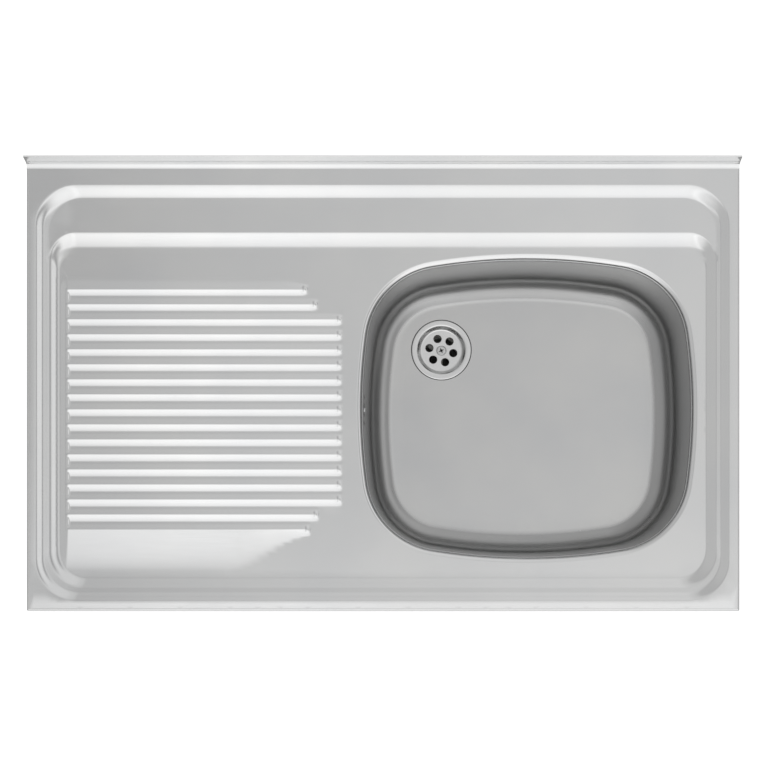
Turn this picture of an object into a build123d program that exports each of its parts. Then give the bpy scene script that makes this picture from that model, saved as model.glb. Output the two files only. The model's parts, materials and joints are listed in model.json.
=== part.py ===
from build123d import *
import math
import os

# Lay-on kitchen sink with drainboard: a pressed steel deck with folded skirts and a back upstand, a welded
# bowl, its strainer waste and overflow, and the battens, brackets and pads under it.
# Millimetres. X runs left to right, Y from the front to the upstand, Z up. The origin is the middle of the
# plane in which the skirts rest on the cabinet, so the top of the cabinet is Z = 0.

os.makedirs("parts", exist_ok=True)

# ---------------------------------------------------------------- driving dimensions

# Sheet and outside of the deck
sheet = 0.8  # steel thickness
sink_width = 800.0
sink_depth = 502.0  # front skirt to the foot of the upstand
skirt_height = 38.0  # the worktop thickness that the sink stands in for
skirt_return = 12.0  # inward fold at the foot of the skirts
bend_radius = 2.0  # outside radius of the folds and corners
upstand_height = 22.0
upstand_lean = 3.7  # how far the top leans back

# Flat rim around the pressed recess
rim_left = 10.4
rim_right = 12.4
rim_front = 12.9
rim_back = 23.8
recess_corner = 45.0

# Steps of the recess, each as far in from the recess edge and as far below the rim
step_run = 4.0
step_drop = 2.4
shelf_run = 13.0
shelf_drop = 3.2
ledge_wall_run = 14.2
ledge_drop = 4.8
pan_wall_top_run = 15.5
pan_wall_foot_run = 22.0
pan_drop = 9.5
pan_front_corner = 38.0
pan_back_corner = 28.0

# Tap ledge between the back of the recess and the pan, measured from the foot of the upstand
ledge_from_back = 77.4
ledge_foot_from_back = 91.9

# Ridged field of the drainboard: raised a little, falling to the bowl, with round-bottomed troughs
trough_count = 16
trough_pitch = 16.9
trough_depth = 2.1
ridge_land = 1.0  # flat crest between two troughs
trough_end_run = 3.6  # plan length of the ramp at each trough end
field_from_left = 43.5  # left end of the troughs, from the left skirt
field_to_bowl = 25.2  # right end of the troughs, from the bowl
field_from_back = 139.7  # the first ridge, from the foot of the upstand
field_height_left = 3.2
field_height_right = 1.9
field_slope_run = 9.0  # plan width of the field's own edge slope
field_border = 2.5  # from the trough ends to the top of that slope
short_back_troughs = (38.3, 27.0)  # how much the first two troughs stop short of the others
short_front_troughs = (34.1, 24.3)  # the same for the last one and the one before it

# Bowl
bowl_from_right = 238.0  # middle of the bowl, from the right skirt
bowl_from_front = 228.5  # and from the front skirt
bowl_half_x = 185.5  # inside, at the weld seam
bowl_half_y = 167.5
bowl_side_radius = 615.0  # bow of the left and right walls in plan
bowl_end_radius = 660.0  # bow of the front and back walls
bowl_corner_radius = 88.0
lip_radius = 7.0
lip_border = 4.0  # flat sheet kept around the lip
collar_height = 4.0  # straight collar under the lip, down to the weld seam
bowl_depth = 150.0  # rim plane to bowl floor
bowl_draft = 3.0  # degrees
bowl_floor_radius = 20.0

# Waste
waste_left_of_bowl = 95.7  # waste, from the middle of the bowl
waste_behind_bowl = 79.3
waste_hole_radius = 30.0
waste_recess_radius = 37.5
waste_recess_depth = 1.8
waste_recess_slope = 1.3  # plan width of the recess wall
strainer_sheet = 1.0
strainer_radius = 35.25
dish_top_radius = 28.4
dish_floor_radius = 24.6
dish_depth = 6.2
strainer_hole_radius = 4.9
strainer_hole_circle = 14.6
strainer_hole_turn = 48.0  # degrees from +X to the first hole
strainer_hole_count = 6
screw_radius = 3.0  # M6
screw_head_radius = 5.4
screw_head_height = 2.6
screw_head_gap = 0.1  # between the turning head and the dimple it sits in
screw_length = 34.0
cross_width = 1.4  # arm of the cross recess
cross_share = 0.62  # cross recess over head diameter
cross_turn = 25.0  # degrees
body_gasket_thickness = 3.0
body_flange_radius = 39.0
body_flange_thickness = 5.0
cup_radius = 34.0
cup_wall = 3.0
cup_depth = 44.0
outlet_radius = 23.9  # G 1 1/2 male thread, outside
outlet_bore = 19.0
outlet_length = 30.0
hub_radius = 7.5
hub_height = 14.0
spoke_count = 3
spoke_width = 4.0
spoke_height = 8.0
insert_radius = 5.0
insert_height = 10.0
cup_fillet = 4.0

# Overflow
overflow_below_rim = 40.0
overflow_columns = 4
overflow_rows = 2
overflow_pitch = 10.0
overflow_hole_radius = 3.0
overflow_gasket_thickness = 3.0
overflow_window_width = 38.0  # opening in the gasket around the holes
overflow_window_height = 18.0
head_width = 50.0
head_height = 32.0
head_depth = 12.0
head_wall = 2.5
head_corner = 8.0
head_elbow_reach = 22.0  # from the gasket to the axis of the spigot
head_passage_width = 12.0  # from the chamber down into the spigot
head_passage_height = 6.0
head_boss_wall = 2.0  # around the brass insert
overflow_screw_radius = 2.5  # M5
overflow_screw_head_radius = 3.8
overflow_screw_head_height = 2.0
overflow_screw_length = 14.0
head_insert_radius = 4.0
head_insert_length = 8.0

# Ribbed overflow hose and its union nuts
hose_bore = 7.5
hose_root = 9.0
hose_crest = 11.0
hose_rib_pitch = 4.4
hose_bend_radius = 58.0
cuff_length = 17.0  # smooth end of the hose
cuff_radius = 8.8
cuff_insertion = 8.0
port_radius = 14.0  # outside of the threaded ports
port_bore = 9.0
port_reach = 22.0  # side port of the waste body, past the cup
port_drop = 20.5  # port axis below the top of the waste body
seal_thickness = 3.0
nut_radius = 18.5
nut_grip = 11.0  # how far a nut reaches over its port
nut_end_wall = 2.5
nut_flutes = 12
nut_flute_radius = 2.2
nut_room = 1.0  # between a nut and the chamber above it

# Battens, stiffeners, pads and brackets
batten_width = 18.0
batten_height = 25.0
stiffener_width = 40.0
stiffener_height = 12.0
stiffener_sheet = 1.0
stiffener_foot = 8.0  # width of each bonded foot
stiffener_taper = 2.0
stiffener_left_inset = 56.5  # from the left end of the troughs
stiffener_right_inset = 76.3  # from their right end
stiffener_reach = 25.0  # past the first and last ridges
pad_thickness = 2.5
drain_pad_gap = 7.5  # between the drainboard's pad and the foot of each stiffener
drain_pad_width = 200.0
bowl_pad_length = 170.0
bowl_pad_width = 200.0
bowl_pad_offset_x = 55.0
bracket_setback = 61.0  # middle of a bracket, from the front and from the foot of the upstand
bracket_width = 44.0
bracket_thickness = 4.0
bracket_drop = 34.0  # below the cabinet top
bracket_rise = 20.0  # above it, on the batten
bracket_slot_length = 14.0
bracket_slot_radius = 2.75
bracket_slot_drop = 20.0
bracket_rib = 6.0  # depth of the two stiffening ribs
bracket_rib_width = 3.0
bracket_corner = 4.0
fixing_rise = 12.5  # wood screws above the cabinet top
fixing_spacing = 20.0  # between the ribs
fixing_radius = 1.75
fixing_head_radius = 3.6
fixing_head_height = 2.2
fixing_length = 15.0  # under the head

# Clearances
fit_clearance = 0.06  # radial, between a thread and what turns on it
loose_clearance = 0.3  # between parts that only pass each other

# ---------------------------------------------------------------- worked-out places

rim_z = skirt_height
front_y = -sink_depth / 2
back_y = sink_depth / 2
upstand_thickness = 2 * sheet  # the sheet folded back on itself
rear_y = back_y + upstand_thickness  # outer face of the rear skirt
recess_left = -sink_width / 2 + rim_left
recess_right = sink_width / 2 - rim_right
recess_front = front_y + rim_front
recess_back = back_y - rim_back
ledge_front_y = back_y - ledge_from_back
ledge_foot_y = back_y - ledge_foot_from_back
pan_z = rim_z - pan_drop
seam_z = pan_z - lip_radius - collar_height
floor_z = rim_z - bowl_depth
skin_growth = 0.44 * sheet  # how far a sloping wall's underside stands out for an even thickness
overlap = 0.4  # how far cutting and joining shapes run past the faces they meet

bowl_x = sink_width / 2 - bowl_from_right
bowl_y = front_y + bowl_from_front
waste_x = bowl_x - waste_left_of_bowl
waste_y = bowl_y + waste_behind_bowl
field_left_x = -sink_width / 2 + field_from_left
field_right_x = bowl_x - bowl_half_x - field_to_bowl
field_back_y = back_y - field_from_back
field_front_y = field_back_y - trough_count * trough_pitch
stiffener_left_x = field_left_x + stiffener_left_inset
stiffener_right_x = field_right_x - stiffener_right_inset
bracket_y = back_y - bracket_setback
field_length = field_right_x - field_left_x
field_fall = math.degrees(math.atan((field_height_left - field_height_right) / field_length))
# Plane of the ridge crests: its X runs down towards the bowl, and its origin is at the left end.
crest_plane = Plane(
    origin=(field_left_x, 0, pan_z + field_height_left),
    x_dir=(math.cos(math.radians(field_fall)), 0, -math.sin(math.radians(field_fall))),
    z_dir=(math.sin(math.radians(field_fall)), 0, math.cos(math.radians(field_fall))),
)
half_chord = (trough_pitch - ridge_land) / 2
trough_radius = (half_chord**2 + trough_depth**2) / (2 * trough_depth)


def crest_plane_at(below):
    """The plane of the ridge crests, moved down by a distance."""
    return crest_plane.offset(-below)


def trough_ends():
    """The right end of each trough along the crest plane, from the back to the front."""
    ends = [field_length] * trough_count
    for number, short in enumerate(short_back_troughs):
        ends[number] -= short
    for number, short in enumerate(short_front_troughs):
        ends[-1 - number] -= short
    return ends


# ---------------------------------------------------------------- shared outlines


def rounded_box(plane, left, right, front, back, front_corner, back_corner):
    """A rounded rectangle with its own radius at the front and at the back corners."""
    with BuildSketch(plane) as outline:
        with Locations(((left + right) / 2, (front + back) / 2)):
            Rectangle(right - left, back - front)
        corners = outline.vertices().group_by(Axis.Y)
        fillet(corners[0], front_corner)
        fillet(outline.vertices().group_by(Axis.Y)[-1], back_corner)
    return outline.sketch


def recess_outline(run, drop, skin):
    """The recess edge moved in by run, at drop below the rim; skin gives the underside of the sheet."""
    inset = run - (skin_growth if skin else 0)
    corner = recess_corner - inset / 2
    plane = Plane.XY.offset(rim_z - drop - skin)
    left = recess_left + inset
    right = recess_right - inset
    return rounded_box(plane, left, right, recess_front + inset, recess_back - inset, corner, corner)


def pan_outline(run, drop, skin):
    """The pan below the tap ledge, on the same walls as the recess but with the ledge's step at the back."""
    inset = run - (skin_growth if skin else 0)
    slope = (ledge_front_y - ledge_foot_y) / (pan_drop - ledge_drop)
    back = ledge_front_y - (drop - ledge_drop) * slope + (skin_growth if skin else 0)
    plane = Plane.XY.offset(rim_z - drop - skin)
    left = recess_left + inset
    right = recess_right - inset
    taper = (drop - ledge_drop) / (pan_drop - ledge_drop)
    front_corner = pan_front_corner - 4 * taper
    back_corner = pan_back_corner - 4 * taper
    return rounded_box(plane, left, right, recess_front + inset, back, front_corner, back_corner)


def bowl_outline_points(offset):
    """Ends and middles of the eight tangent arcs of the bowl outline, moved out by offset."""
    half_x = bowl_half_x + offset
    half_y = bowl_half_y + offset
    side = bowl_side_radius + offset
    end = bowl_end_radius + offset
    corner = bowl_corner_radius + offset
    side_centre = Vector(half_x - side, 0)
    end_centre = Vector(0, half_y - end)
    # The corner's centre lies at side - corner from one centre and at end - corner from the other.
    gap = end_centre - side_centre
    along = ((side - corner) ** 2 - (end - corner) ** 2 + gap.length**2) / (2 * gap.length)
    across = math.sqrt((side - corner) ** 2 - along**2)
    forward = gap.normalized()
    sideways = Vector(-forward.Y, forward.X)
    corner_centre = side_centre + forward * along + sideways * across
    if corner_centre.X < 0 or corner_centre.Y < 0:
        corner_centre = side_centre + forward * along - sideways * across
    side_end = side_centre + (corner_centre - side_centre).normalized() * side
    end_end = end_centre + (corner_centre - end_centre).normalized() * end
    middle = ((side_end - corner_centre) + (end_end - corner_centre)).normalized()
    corner_middle = corner_centre + middle * corner
    return half_x, half_y, side_end, corner_middle, end_end


def bowl_outline(z, offset):
    """The bowl's outline at a height: a rounded rectangle with bowed sides."""
    half_x, half_y, side_end, corner_middle, end_end = bowl_outline_points(offset)
    with BuildSketch(Plane((bowl_x, bowl_y, z))) as outline:
        with BuildLine():
            for sx, sy in ((1, 1), (-1, 1), (-1, -1), (1, -1)):
                start, stop = (side_end, end_end) if sx * sy > 0 else (end_end, side_end)
                first = (sx * start.X, sy * start.Y)
                last = (sx * stop.X, sy * stop.Y)
                ThreePointArc(first, (sx * corner_middle.X, sy * corner_middle.Y), last)
            for sy in (1, -1):
                ThreePointArc((end_end.X, sy * end_end.Y), (0, sy * half_y), (-end_end.X, sy * end_end.Y))
            for sx in (1, -1):
                ThreePointArc((sx * side_end.X, -side_end.Y), (sx * half_x, 0), (sx * side_end.X, side_end.Y))
        make_face()
    return outline.sketch


# ---------------------------------------------------------------- pressed deck


def field_form(skin):
    """The raised field of the drainboard, without its troughs."""
    shrink = skin_growth if skin else 0
    slope = field_slope_run
    back = field_back_y + field_border
    front = field_front_y - field_border
    right = field_right_x + field_border
    left = field_left_x - field_border
    cut_back = short_back_troughs[0]
    cut_front = short_front_troughs[0]

    def corners(grow):
        """The field's outline with its two right corners cut off, moved out by grow."""
        bevel = grow * math.tan(math.radians(22.5))
        return [
            (left - grow, back + grow),
            (right - cut_back + bevel, back + grow),
            (right + grow, back - cut_back + bevel),
            (right + grow, front + cut_front - bevel),
            (right - cut_front + bevel, front - grow),
            (left - grow, front - grow),
        ]

    with BuildPart() as form:
        with BuildSketch(Plane.XY.offset(pan_z - skin)):
            with BuildLine():
                FilletPolyline(*corners(slope - shrink), radius=slope, close=True)
            make_face()
        with BuildSketch(crest_plane_at(skin)):
            with BuildLine():
                shift = Vector(-field_left_x, 0)
                FilletPolyline(*[Vector(*c) + shift for c in corners(-shrink)], radius=slope / 2, close=True)
            make_face()
        loft(ruled=True)
    return form.part


def trough_form(number, length, skin):
    """One trough: a cylinder's lower side, ending in a ramp at each end."""
    y = field_back_y - (number + 0.5) * trough_pitch
    slope = trough_end_run / trough_depth
    grow = skin_growth if skin else 0
    deep = trough_depth + skin + 1
    high = overlap
    side_view = Plane(
        origin=crest_plane.from_local_coords(Vector(0, y, 0)),
        x_dir=crest_plane.x_dir,
        z_dir=(0, -1, 0),
    )
    with BuildPart() as form:
        with BuildSketch(side_view):
            with BuildLine():
                Polyline(
                    (-grow - high * slope, high - skin),
                    (length + grow + high * slope, high - skin),
                    (length + grow - deep * slope, -deep - skin),
                    (-grow + deep * slope, -deep - skin),
                    close=True,
                )
            make_face()
        extrude(amount=trough_pitch / 2, both=True)
        across = Plane(
            origin=crest_plane.from_local_coords(Vector(-trough_pitch, y, trough_radius - trough_depth)),
            z_dir=crest_plane.x_dir,
        )
        with BuildSketch(across):
            Circle(trough_radius + skin)
        extrude(amount=field_length + 2 * trough_pitch, mode=Mode.INTERSECT)
    return form.part


def throat_form(skin):
    """The rounded lip and the collar that the bowl is welded to."""
    foot_z = seam_z - (0 if skin else overlap)
    floor_plane_z = pan_z - skin
    with BuildPart() as form:
        add(bowl_outline(foot_z, skin))
        extrude(amount=floor_plane_z - foot_z)
        add(bowl_outline(floor_plane_z, lip_radius + lip_border))
        extrude(amount=overlap)
        plate_underside = form.faces().filter_by(Plane.XY).sort_by(Axis.Z)[1]
        fillet(plate_underside.inner_wires().edges(), lip_radius - skin)
    return form.part


def pan_form(skin):
    """The pressed recess as a solid: the air over the sheet for skin 0, its underside for the sheet."""
    with BuildPart() as form:
        add(recess_outline(0, 0, skin))
        extrude(amount=overlap)
        steps = ((0, 0), (step_run, step_drop), (shelf_run, shelf_drop), (ledge_wall_run, ledge_drop))
        for run, drop in steps:
            add(recess_outline(run, drop, skin))
        loft(ruled=True)
        wall_slope = (pan_wall_foot_run - pan_wall_top_run) / (pan_drop - ledge_drop)
        start = 2 * overlap
        add(pan_outline(pan_wall_top_run - start * wall_slope, ledge_drop - start, skin))
        add(pan_outline(pan_wall_foot_run, pan_drop, skin))
        loft(ruled=True)
        add(field_form(skin), mode=Mode.SUBTRACT)
        for number, length in enumerate(trough_ends()):
            add(trough_form(number, length, skin))
        add(throat_form(skin))
    return form.part


def tray_form(skin):
    """The deck's outer box for skin 0, and the hollow inside it for the sheet, with rounded folds."""
    with BuildPart() as form:
        with BuildSketch(Plane.XY.offset(skin)):
            with Locations((0, upstand_thickness / 2)):
                Rectangle(sink_width - 2 * skin, sink_depth + upstand_thickness - 2 * skin)
        extrude(amount=rim_z - 2 * skin)
        fillet(form.edges().filter_by(Axis.Z).group_by(Axis.Y)[0], bend_radius - skin)
        top_edges = form.faces().sort_by(Axis.Z)[-1].edges()
        fillet(top_edges.sort_by(Axis.Y)[:-1], bend_radius - skin)
    return form.part


with BuildPart() as deck:
    add(tray_form(0))
    add(tray_form(sheet), mode=Mode.SUBTRACT)
    # Opening between the inward folds at the foot of the skirts.
    with BuildSketch(Plane.XY):
        with Locations((0, upstand_thickness / 2)):
            Rectangle(sink_width - 2 * skirt_return, sink_depth + upstand_thickness - 2 * skirt_return)
    extrude(amount=sheet + overlap, mode=Mode.SUBTRACT)
    # Upstand: the sheet folded back on itself, leaning away from the tap ledge.
    with BuildSketch(Plane.YZ):
        with BuildLine():
            Polyline(
                (back_y, rim_z - bend_radius),
                (back_y, rim_z),
                (back_y + upstand_lean, rim_z + upstand_height),
                (rear_y + upstand_lean, rim_z + upstand_height),
                (rear_y, rim_z),
                (rear_y, rim_z - bend_radius),
                close=True,
            )
        make_face()
    extrude(amount=sink_width / 2, both=True)
    hem = deck.edges().filter_by(Axis.X).group_by(Axis.Z)[-1]
    fillet(hem, 0.45 * upstand_thickness)
    add(pan_form(sheet))
    add(pan_form(0), mode=Mode.SUBTRACT)
deck.part.label = "deck"


# ---------------------------------------------------------------- bowl


def bowl_form(skin):
    """The bowl as a solid: its inside for skin 0, its outside for the sheet."""
    foot_z = floor_z - skin
    with BuildPart() as form:
        for z in (seam_z, foot_z):
            add(bowl_outline(z, skin - (seam_z - z) * math.tan(math.radians(bowl_draft))))
        loft(ruled=True)
        fillet(form.faces().sort_by(Axis.Z)[0].edges(), bowl_floor_radius + skin)
        with BuildSketch(Plane((waste_x, waste_y, foot_z))):
            Circle(waste_recess_radius + skin)
        with BuildSketch(Plane((waste_x, waste_y, foot_z - waste_recess_depth))):
            Circle(waste_recess_radius - waste_recess_slope + skin)
        loft(ruled=True)
    return form.part


def wall_offset(z):
    """How far the bowl's walls stand in from the seam at a height."""
    return (seam_z - z) * math.tan(math.radians(bowl_draft))


overflow_z = rim_z - overflow_below_rim
draft_turn = math.radians(bowl_draft)
# Inner face of the left wall at the overflow: X along the wall, Y down it, Z out of the bowl.
wall_plane = Plane(
    origin=(bowl_x - bowl_half_x + wall_offset(overflow_z), bowl_y, overflow_z),
    x_dir=(0, 1, 0),
    z_dir=(-math.cos(draft_turn), 0, -math.sin(draft_turn)),
)

with BuildPart() as bowl:
    add(bowl_form(sheet))
    add(bowl_form(0), mode=Mode.SUBTRACT)
    with BuildSketch(Plane((waste_x, waste_y, floor_z))):
        Circle(waste_hole_radius)
    extrude(amount=-(waste_recess_depth + 2 * sheet), mode=Mode.SUBTRACT)
    with BuildSketch(wall_plane):
        with GridLocations(overflow_pitch, overflow_pitch, overflow_columns, overflow_rows):
            Circle(overflow_hole_radius)
        Circle(overflow_screw_radius + loose_clearance)
    extrude(amount=2 * sheet, both=True, mode=Mode.SUBTRACT)
bowl.part.label = "bowl"


# ---------------------------------------------------------------- battens and brackets


def batten_form(left, right, front, back):
    """A wooden batten standing on the fold of the skirts; a side batten's corners follow the deck's."""
    with BuildPart() as form:
        with BuildSketch(Plane.XY.offset(sheet)):
            with Locations(((left + right) / 2, (front + back) / 2)):
                Rectangle(right - left, back - front)
        extrude(amount=batten_height)
        if back - front > right - left:
            fillet(form.edges().filter_by(Axis.Z), bend_radius)
    return form.part


skirt_inside = sink_width / 2 - sheet
batten_inside = skirt_inside - batten_width
batten_front = front_y + sheet
batten_back = rear_y - sheet
bracket_corners = {
    "bracket_front_left": (-1, -1),
    "bracket_front_right": (1, -1),
    "bracket_rear_left": (-1, 1),
    "bracket_rear_right": (1, 1),
}


def bracket_face(side, row):
    """The batten face that a bracket is screwed to: X along the sink's depth, Y up, Z into the cabinet."""
    return Plane(origin=(side * batten_inside, row * bracket_y, 0), x_dir=(0, -side, 0), z_dir=(-side, 0, 0))


def pilot_holes(side):
    """The pilot holes of both brackets in a side batten."""
    with BuildPart() as holes:
        for row in (-1, 1):
            with BuildSketch(bracket_face(side, row)):
                with Locations((0, fixing_rise)):
                    with GridLocations(fixing_spacing, 0, 2, 1):
                        Circle(fixing_radius + fit_clearance)
            extrude(amount=bracket_thickness - fixing_length - fit_clearance)
    return holes.part


with BuildPart() as left_batten:
    add(batten_form(-skirt_inside, -batten_inside, batten_front, batten_back))
    add(pilot_holes(-1), mode=Mode.SUBTRACT)
left_batten.part.label = "left_batten"

with BuildPart() as right_batten:
    add(batten_form(batten_inside, skirt_inside, batten_front, batten_back))
    add(pilot_holes(1), mode=Mode.SUBTRACT)
right_batten.part.label = "right_batten"

with BuildPart() as front_batten:
    add(batten_form(-batten_inside, batten_inside, batten_front, batten_front + batten_width))
front_batten.part.label = "front_batten"

with BuildPart() as rear_batten:
    add(batten_form(-batten_inside, batten_inside, batten_back - batten_width, batten_back))
rear_batten.part.label = "rear_batten"


def bracket_form(side, row):
    """A bracket: a plate screwed to the batten, hanging into the cabinet, with a slot and two ribs."""
    face = bracket_face(side, row)
    height = bracket_drop + bracket_rise
    middle = (bracket_rise - bracket_drop) / 2
    with BuildPart() as form:
        with BuildSketch(face):
            with Locations((0, middle)):
                RectangleRounded(bracket_width, height, bracket_corner)
        extrude(amount=bracket_thickness)
        with BuildSketch(face):
            with Locations((0, middle)):
                with GridLocations(bracket_width - bracket_rib_width - 2 * bracket_corner, 0, 2, 1):
                    Rectangle(bracket_rib_width, height - 2 * bracket_corner)
        extrude(amount=bracket_thickness + bracket_rib)
        fillet(form.faces().sort_by(Axis((0, 0, 0), (-side, 0, 0)))[-2:].edges().filter_by(Axis.Y), 1.0)
        with BuildSketch(face):
            with Locations((0, fixing_rise)):
                with GridLocations(fixing_spacing, 0, 2, 1):
                    Circle(fixing_radius + loose_clearance)
            with Locations((0, -bracket_slot_drop)):
                SlotCenterToCenter(bracket_slot_length - 2 * bracket_slot_radius, 2 * bracket_slot_radius)
        extrude(amount=bracket_thickness, mode=Mode.SUBTRACT)
    return form.part


brackets = {}
for name, (side, row) in bracket_corners.items():
    brackets[name] = bracket_form(side, row)
    brackets[name].label = name


def wood_screw(side, row, shift):
    """A pan-head screw through a bracket into its batten."""
    face = bracket_face(side, row).offset(bracket_thickness)
    with BuildPart() as form:
        with BuildSketch(face):
            with Locations((shift, fixing_rise)):
                Circle(fixing_radius)
        extrude(amount=-fixing_length)
        chamfer(form.edges().sort_by(Axis((0, 0, 0), (side, 0, 0)))[-1], 0.8 * fixing_radius)
        with BuildSketch(face):
            with Locations((shift, fixing_rise)):
                Circle(fixing_head_radius)
        extrude(amount=fixing_head_height)
        fillet(form.edges().sort_by(Axis((0, 0, 0), (-side, 0, 0)))[-1], 0.6 * fixing_head_height)
        with BuildSketch(face.offset(fixing_head_height)):
            with Locations((shift, fixing_rise)):
                Rectangle(fixing_head_radius, 0.2 * fixing_head_radius)
                Rectangle(0.2 * fixing_head_radius, fixing_head_radius)
        extrude(amount=-0.6 * fixing_head_height, mode=Mode.SUBTRACT)
    return form.part


with BuildPart() as bracket_screws:
    for side, row in bracket_corners.values():
        for shift in (-fixing_spacing / 2, fixing_spacing / 2):
            add(wood_screw(side, row, shift))
bracket_screws.part.label = "bracket_screws"

# ---------------------------------------------------------------- under the drainboard


def ridge_underside(x):
    """Height of the troughs' undersides at an X."""
    fall = (field_height_left - field_height_right) * (x - field_left_x) / field_length
    return pan_z + field_height_left - fall - trough_depth - sheet


def stiffener_form(x):
    """A channel with two bonded feet, open upwards, running from front to back under the pan."""
    top = min(pan_z - sheet, ridge_underside(x + stiffener_width / 2))
    half = stiffener_width / 2
    web = half - stiffener_foot
    base = web - stiffener_taper
    length = field_back_y - field_front_y + 2 * stiffener_reach
    middle = (field_back_y + field_front_y) / 2
    wall = stiffener_sheet
    with BuildPart() as form:
        with BuildSketch(Plane(origin=(x, middle, top), x_dir=(1, 0, 0), z_dir=(0, -1, 0))):
            with BuildLine():
                Polyline(
                    (-half, 0),
                    (half, 0),
                    (half, -wall),
                    (web, -wall),
                    (base, -stiffener_height),
                    (-base, -stiffener_height),
                    (-web, -wall),
                    (-half, -wall),
                    close=True,
                )
            make_face()
            with BuildLine():
                Polyline(
                    (wall - web, 0),
                    (web - wall, 0),
                    (base - wall, wall - stiffener_height),
                    (wall - base, wall - stiffener_height),
                    close=True,
                )
            make_face(mode=Mode.SUBTRACT)
        extrude(amount=length / 2, both=True)
    return form.part


with BuildPart() as drainboard_stiffener_left:
    add(stiffener_form(stiffener_left_x))
drainboard_stiffener_left.part.label = "drainboard_stiffener_left"

with BuildPart() as drainboard_stiffener_right:
    add(stiffener_form(stiffener_right_x))
drainboard_stiffener_right.part.label = "drainboard_stiffener_right"

with BuildPart() as drainboard_sound_pad:
    # A soft pad pressed against the troughs, so its upper side is the underside of the ridged sheet.
    pad_x = (stiffener_left_x + stiffener_right_x) / 2
    pad_y = (field_back_y + field_front_y) / 2
    pad_length = stiffener_right_x - stiffener_left_x - stiffener_width - 2 * drain_pad_gap
    with BuildSketch(Plane((pad_x, pad_y, ridge_underside(pad_x) - pad_thickness))):
        RectangleRounded(pad_length, drain_pad_width, pad_thickness)
    extrude(amount=pad_thickness + trough_depth / 2)
    add(pan_form(sheet), mode=Mode.SUBTRACT)
drainboard_sound_pad.part.label = "drainboard_sound_pad"

with BuildPart() as bowl_sound_pad:
    with BuildSketch(Plane((bowl_x + bowl_pad_offset_x, bowl_y, floor_z - sheet))):
        RectangleRounded(bowl_pad_length, bowl_pad_width, 4 * pad_thickness)
    extrude(amount=-pad_thickness)
bowl_sound_pad.part.label = "bowl_sound_pad"

# ---------------------------------------------------------------- waste

recess_z = floor_z - waste_recess_depth  # seat of the strainer's gasket
strainer_gasket_thickness = waste_recess_depth - strainer_sheet
body_top = recess_z - sheet - body_gasket_thickness
dish_z = floor_z - dish_depth  # upper face of the dish floor
waste_side = Plane(origin=(waste_x, waste_y, floor_z), x_dir=(1, 0, 0), z_dir=(0, -1, 0))
waste_axis = Axis((waste_x, waste_y, 0), (0, 0, 1))
dimple_radius = screw_head_radius + screw_head_gap + screw_head_height * 0.2
dimple_foot = screw_radius + loose_clearance

with BuildPart() as waste_strainer:
    # Flange, dish and countersunk dimple as one pressing, from the rim to the screw hole.
    with BuildSketch(waste_side):
        with BuildLine():
            Polyline(
                (strainer_radius, 0),
                (dish_top_radius + 0.8, 0),
                (dish_top_radius, -0.8),
                (dish_floor_radius + 0.6, -dish_depth + 0.6),
                (dish_floor_radius, -dish_depth),
                (dimple_radius, -dish_depth),
                (dimple_foot, -dish_depth - screw_head_height),
                (dimple_foot, -dish_depth - screw_head_height - strainer_sheet),
                (dimple_radius, -dish_depth - strainer_sheet),
                (dish_floor_radius + 0.4, -dish_depth - strainer_sheet),
                (dish_floor_radius + 1.5, -dish_depth),
                (dish_top_radius + 0.9, -1.2),
                (dish_top_radius + 1.2, -strainer_sheet),
                (strainer_radius, -strainer_sheet),
                close=True,
            )
        make_face()
    revolve(axis=waste_axis)
    with BuildSketch(Plane((waste_x, waste_y, dish_z))):
        with PolarLocations(strainer_hole_circle, strainer_hole_count, start_angle=strainer_hole_turn):
            Circle(strainer_hole_radius)
    extrude(amount=-strainer_sheet, mode=Mode.SUBTRACT)
waste_strainer.part.label = "waste_strainer"

with BuildPart() as strainer_gasket:
    with BuildSketch(Plane((waste_x, waste_y, recess_z))):
        Circle(strainer_radius - overlap)
        Circle(waste_hole_radius, mode=Mode.SUBTRACT)
    extrude(amount=strainer_gasket_thickness)
strainer_gasket.part.label = "strainer_gasket"

with BuildPart() as body_gasket:
    with BuildSketch(Plane((waste_x, waste_y, body_top))):
        Circle(body_flange_radius)
        Circle(waste_hole_radius + 2 * loose_clearance, mode=Mode.SUBTRACT)
    extrude(amount=body_gasket_thickness)
body_gasket.part.label = "body_gasket"


def screw_form(head_plane, radius, length, head_radius, head_height):
    """A countersunk machine screw with a cross recess; its head's upper face lies in head_plane."""
    with BuildPart() as form:
        with BuildSketch(head_plane):
            Circle(head_radius)
        with BuildSketch(head_plane.offset(-head_height)):
            Circle(radius)
        loft(ruled=True)
        with BuildSketch(head_plane.offset(-head_height)):
            Circle(radius)
        extrude(amount=head_height - length)
        tip = form.faces().sort_by(Axis(head_plane.origin, head_plane.z_dir))[0]
        chamfer(tip.edges(), 0.3 * radius)
        with BuildSketch(head_plane):
            with Locations(Rotation(0, 0, cross_turn)):
                Rectangle(2 * cross_share * head_radius, cross_width)
                Rectangle(cross_width, 2 * cross_share * head_radius)
        extrude(amount=-0.7 * head_height, mode=Mode.SUBTRACT)
    return form.part


with BuildPart() as strainer_screw:
    # The head lies in the dimple, just clear of it.
    add(
        screw_form(
            Plane((waste_x, waste_y, dish_z - screw_head_gap)),
            screw_radius,
            screw_length,
            screw_head_radius,
            screw_head_height - screw_head_gap,
        )
    )
strainer_screw.part.label = "strainer_screw"

screw_tip_z = dish_z - screw_head_gap - screw_length
insert_z = screw_tip_z + 1.0  # foot of the brass insert: the screw comes through it by this much
hub_z = insert_z - 2.0  # foot of the hub
port_z = body_top - port_drop
overflow_head_plane = wall_plane.offset(sheet + overflow_gasket_thickness)
spigot_x = overflow_head_plane.origin.X - head_elbow_reach
spigot_y = bowl_y
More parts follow.
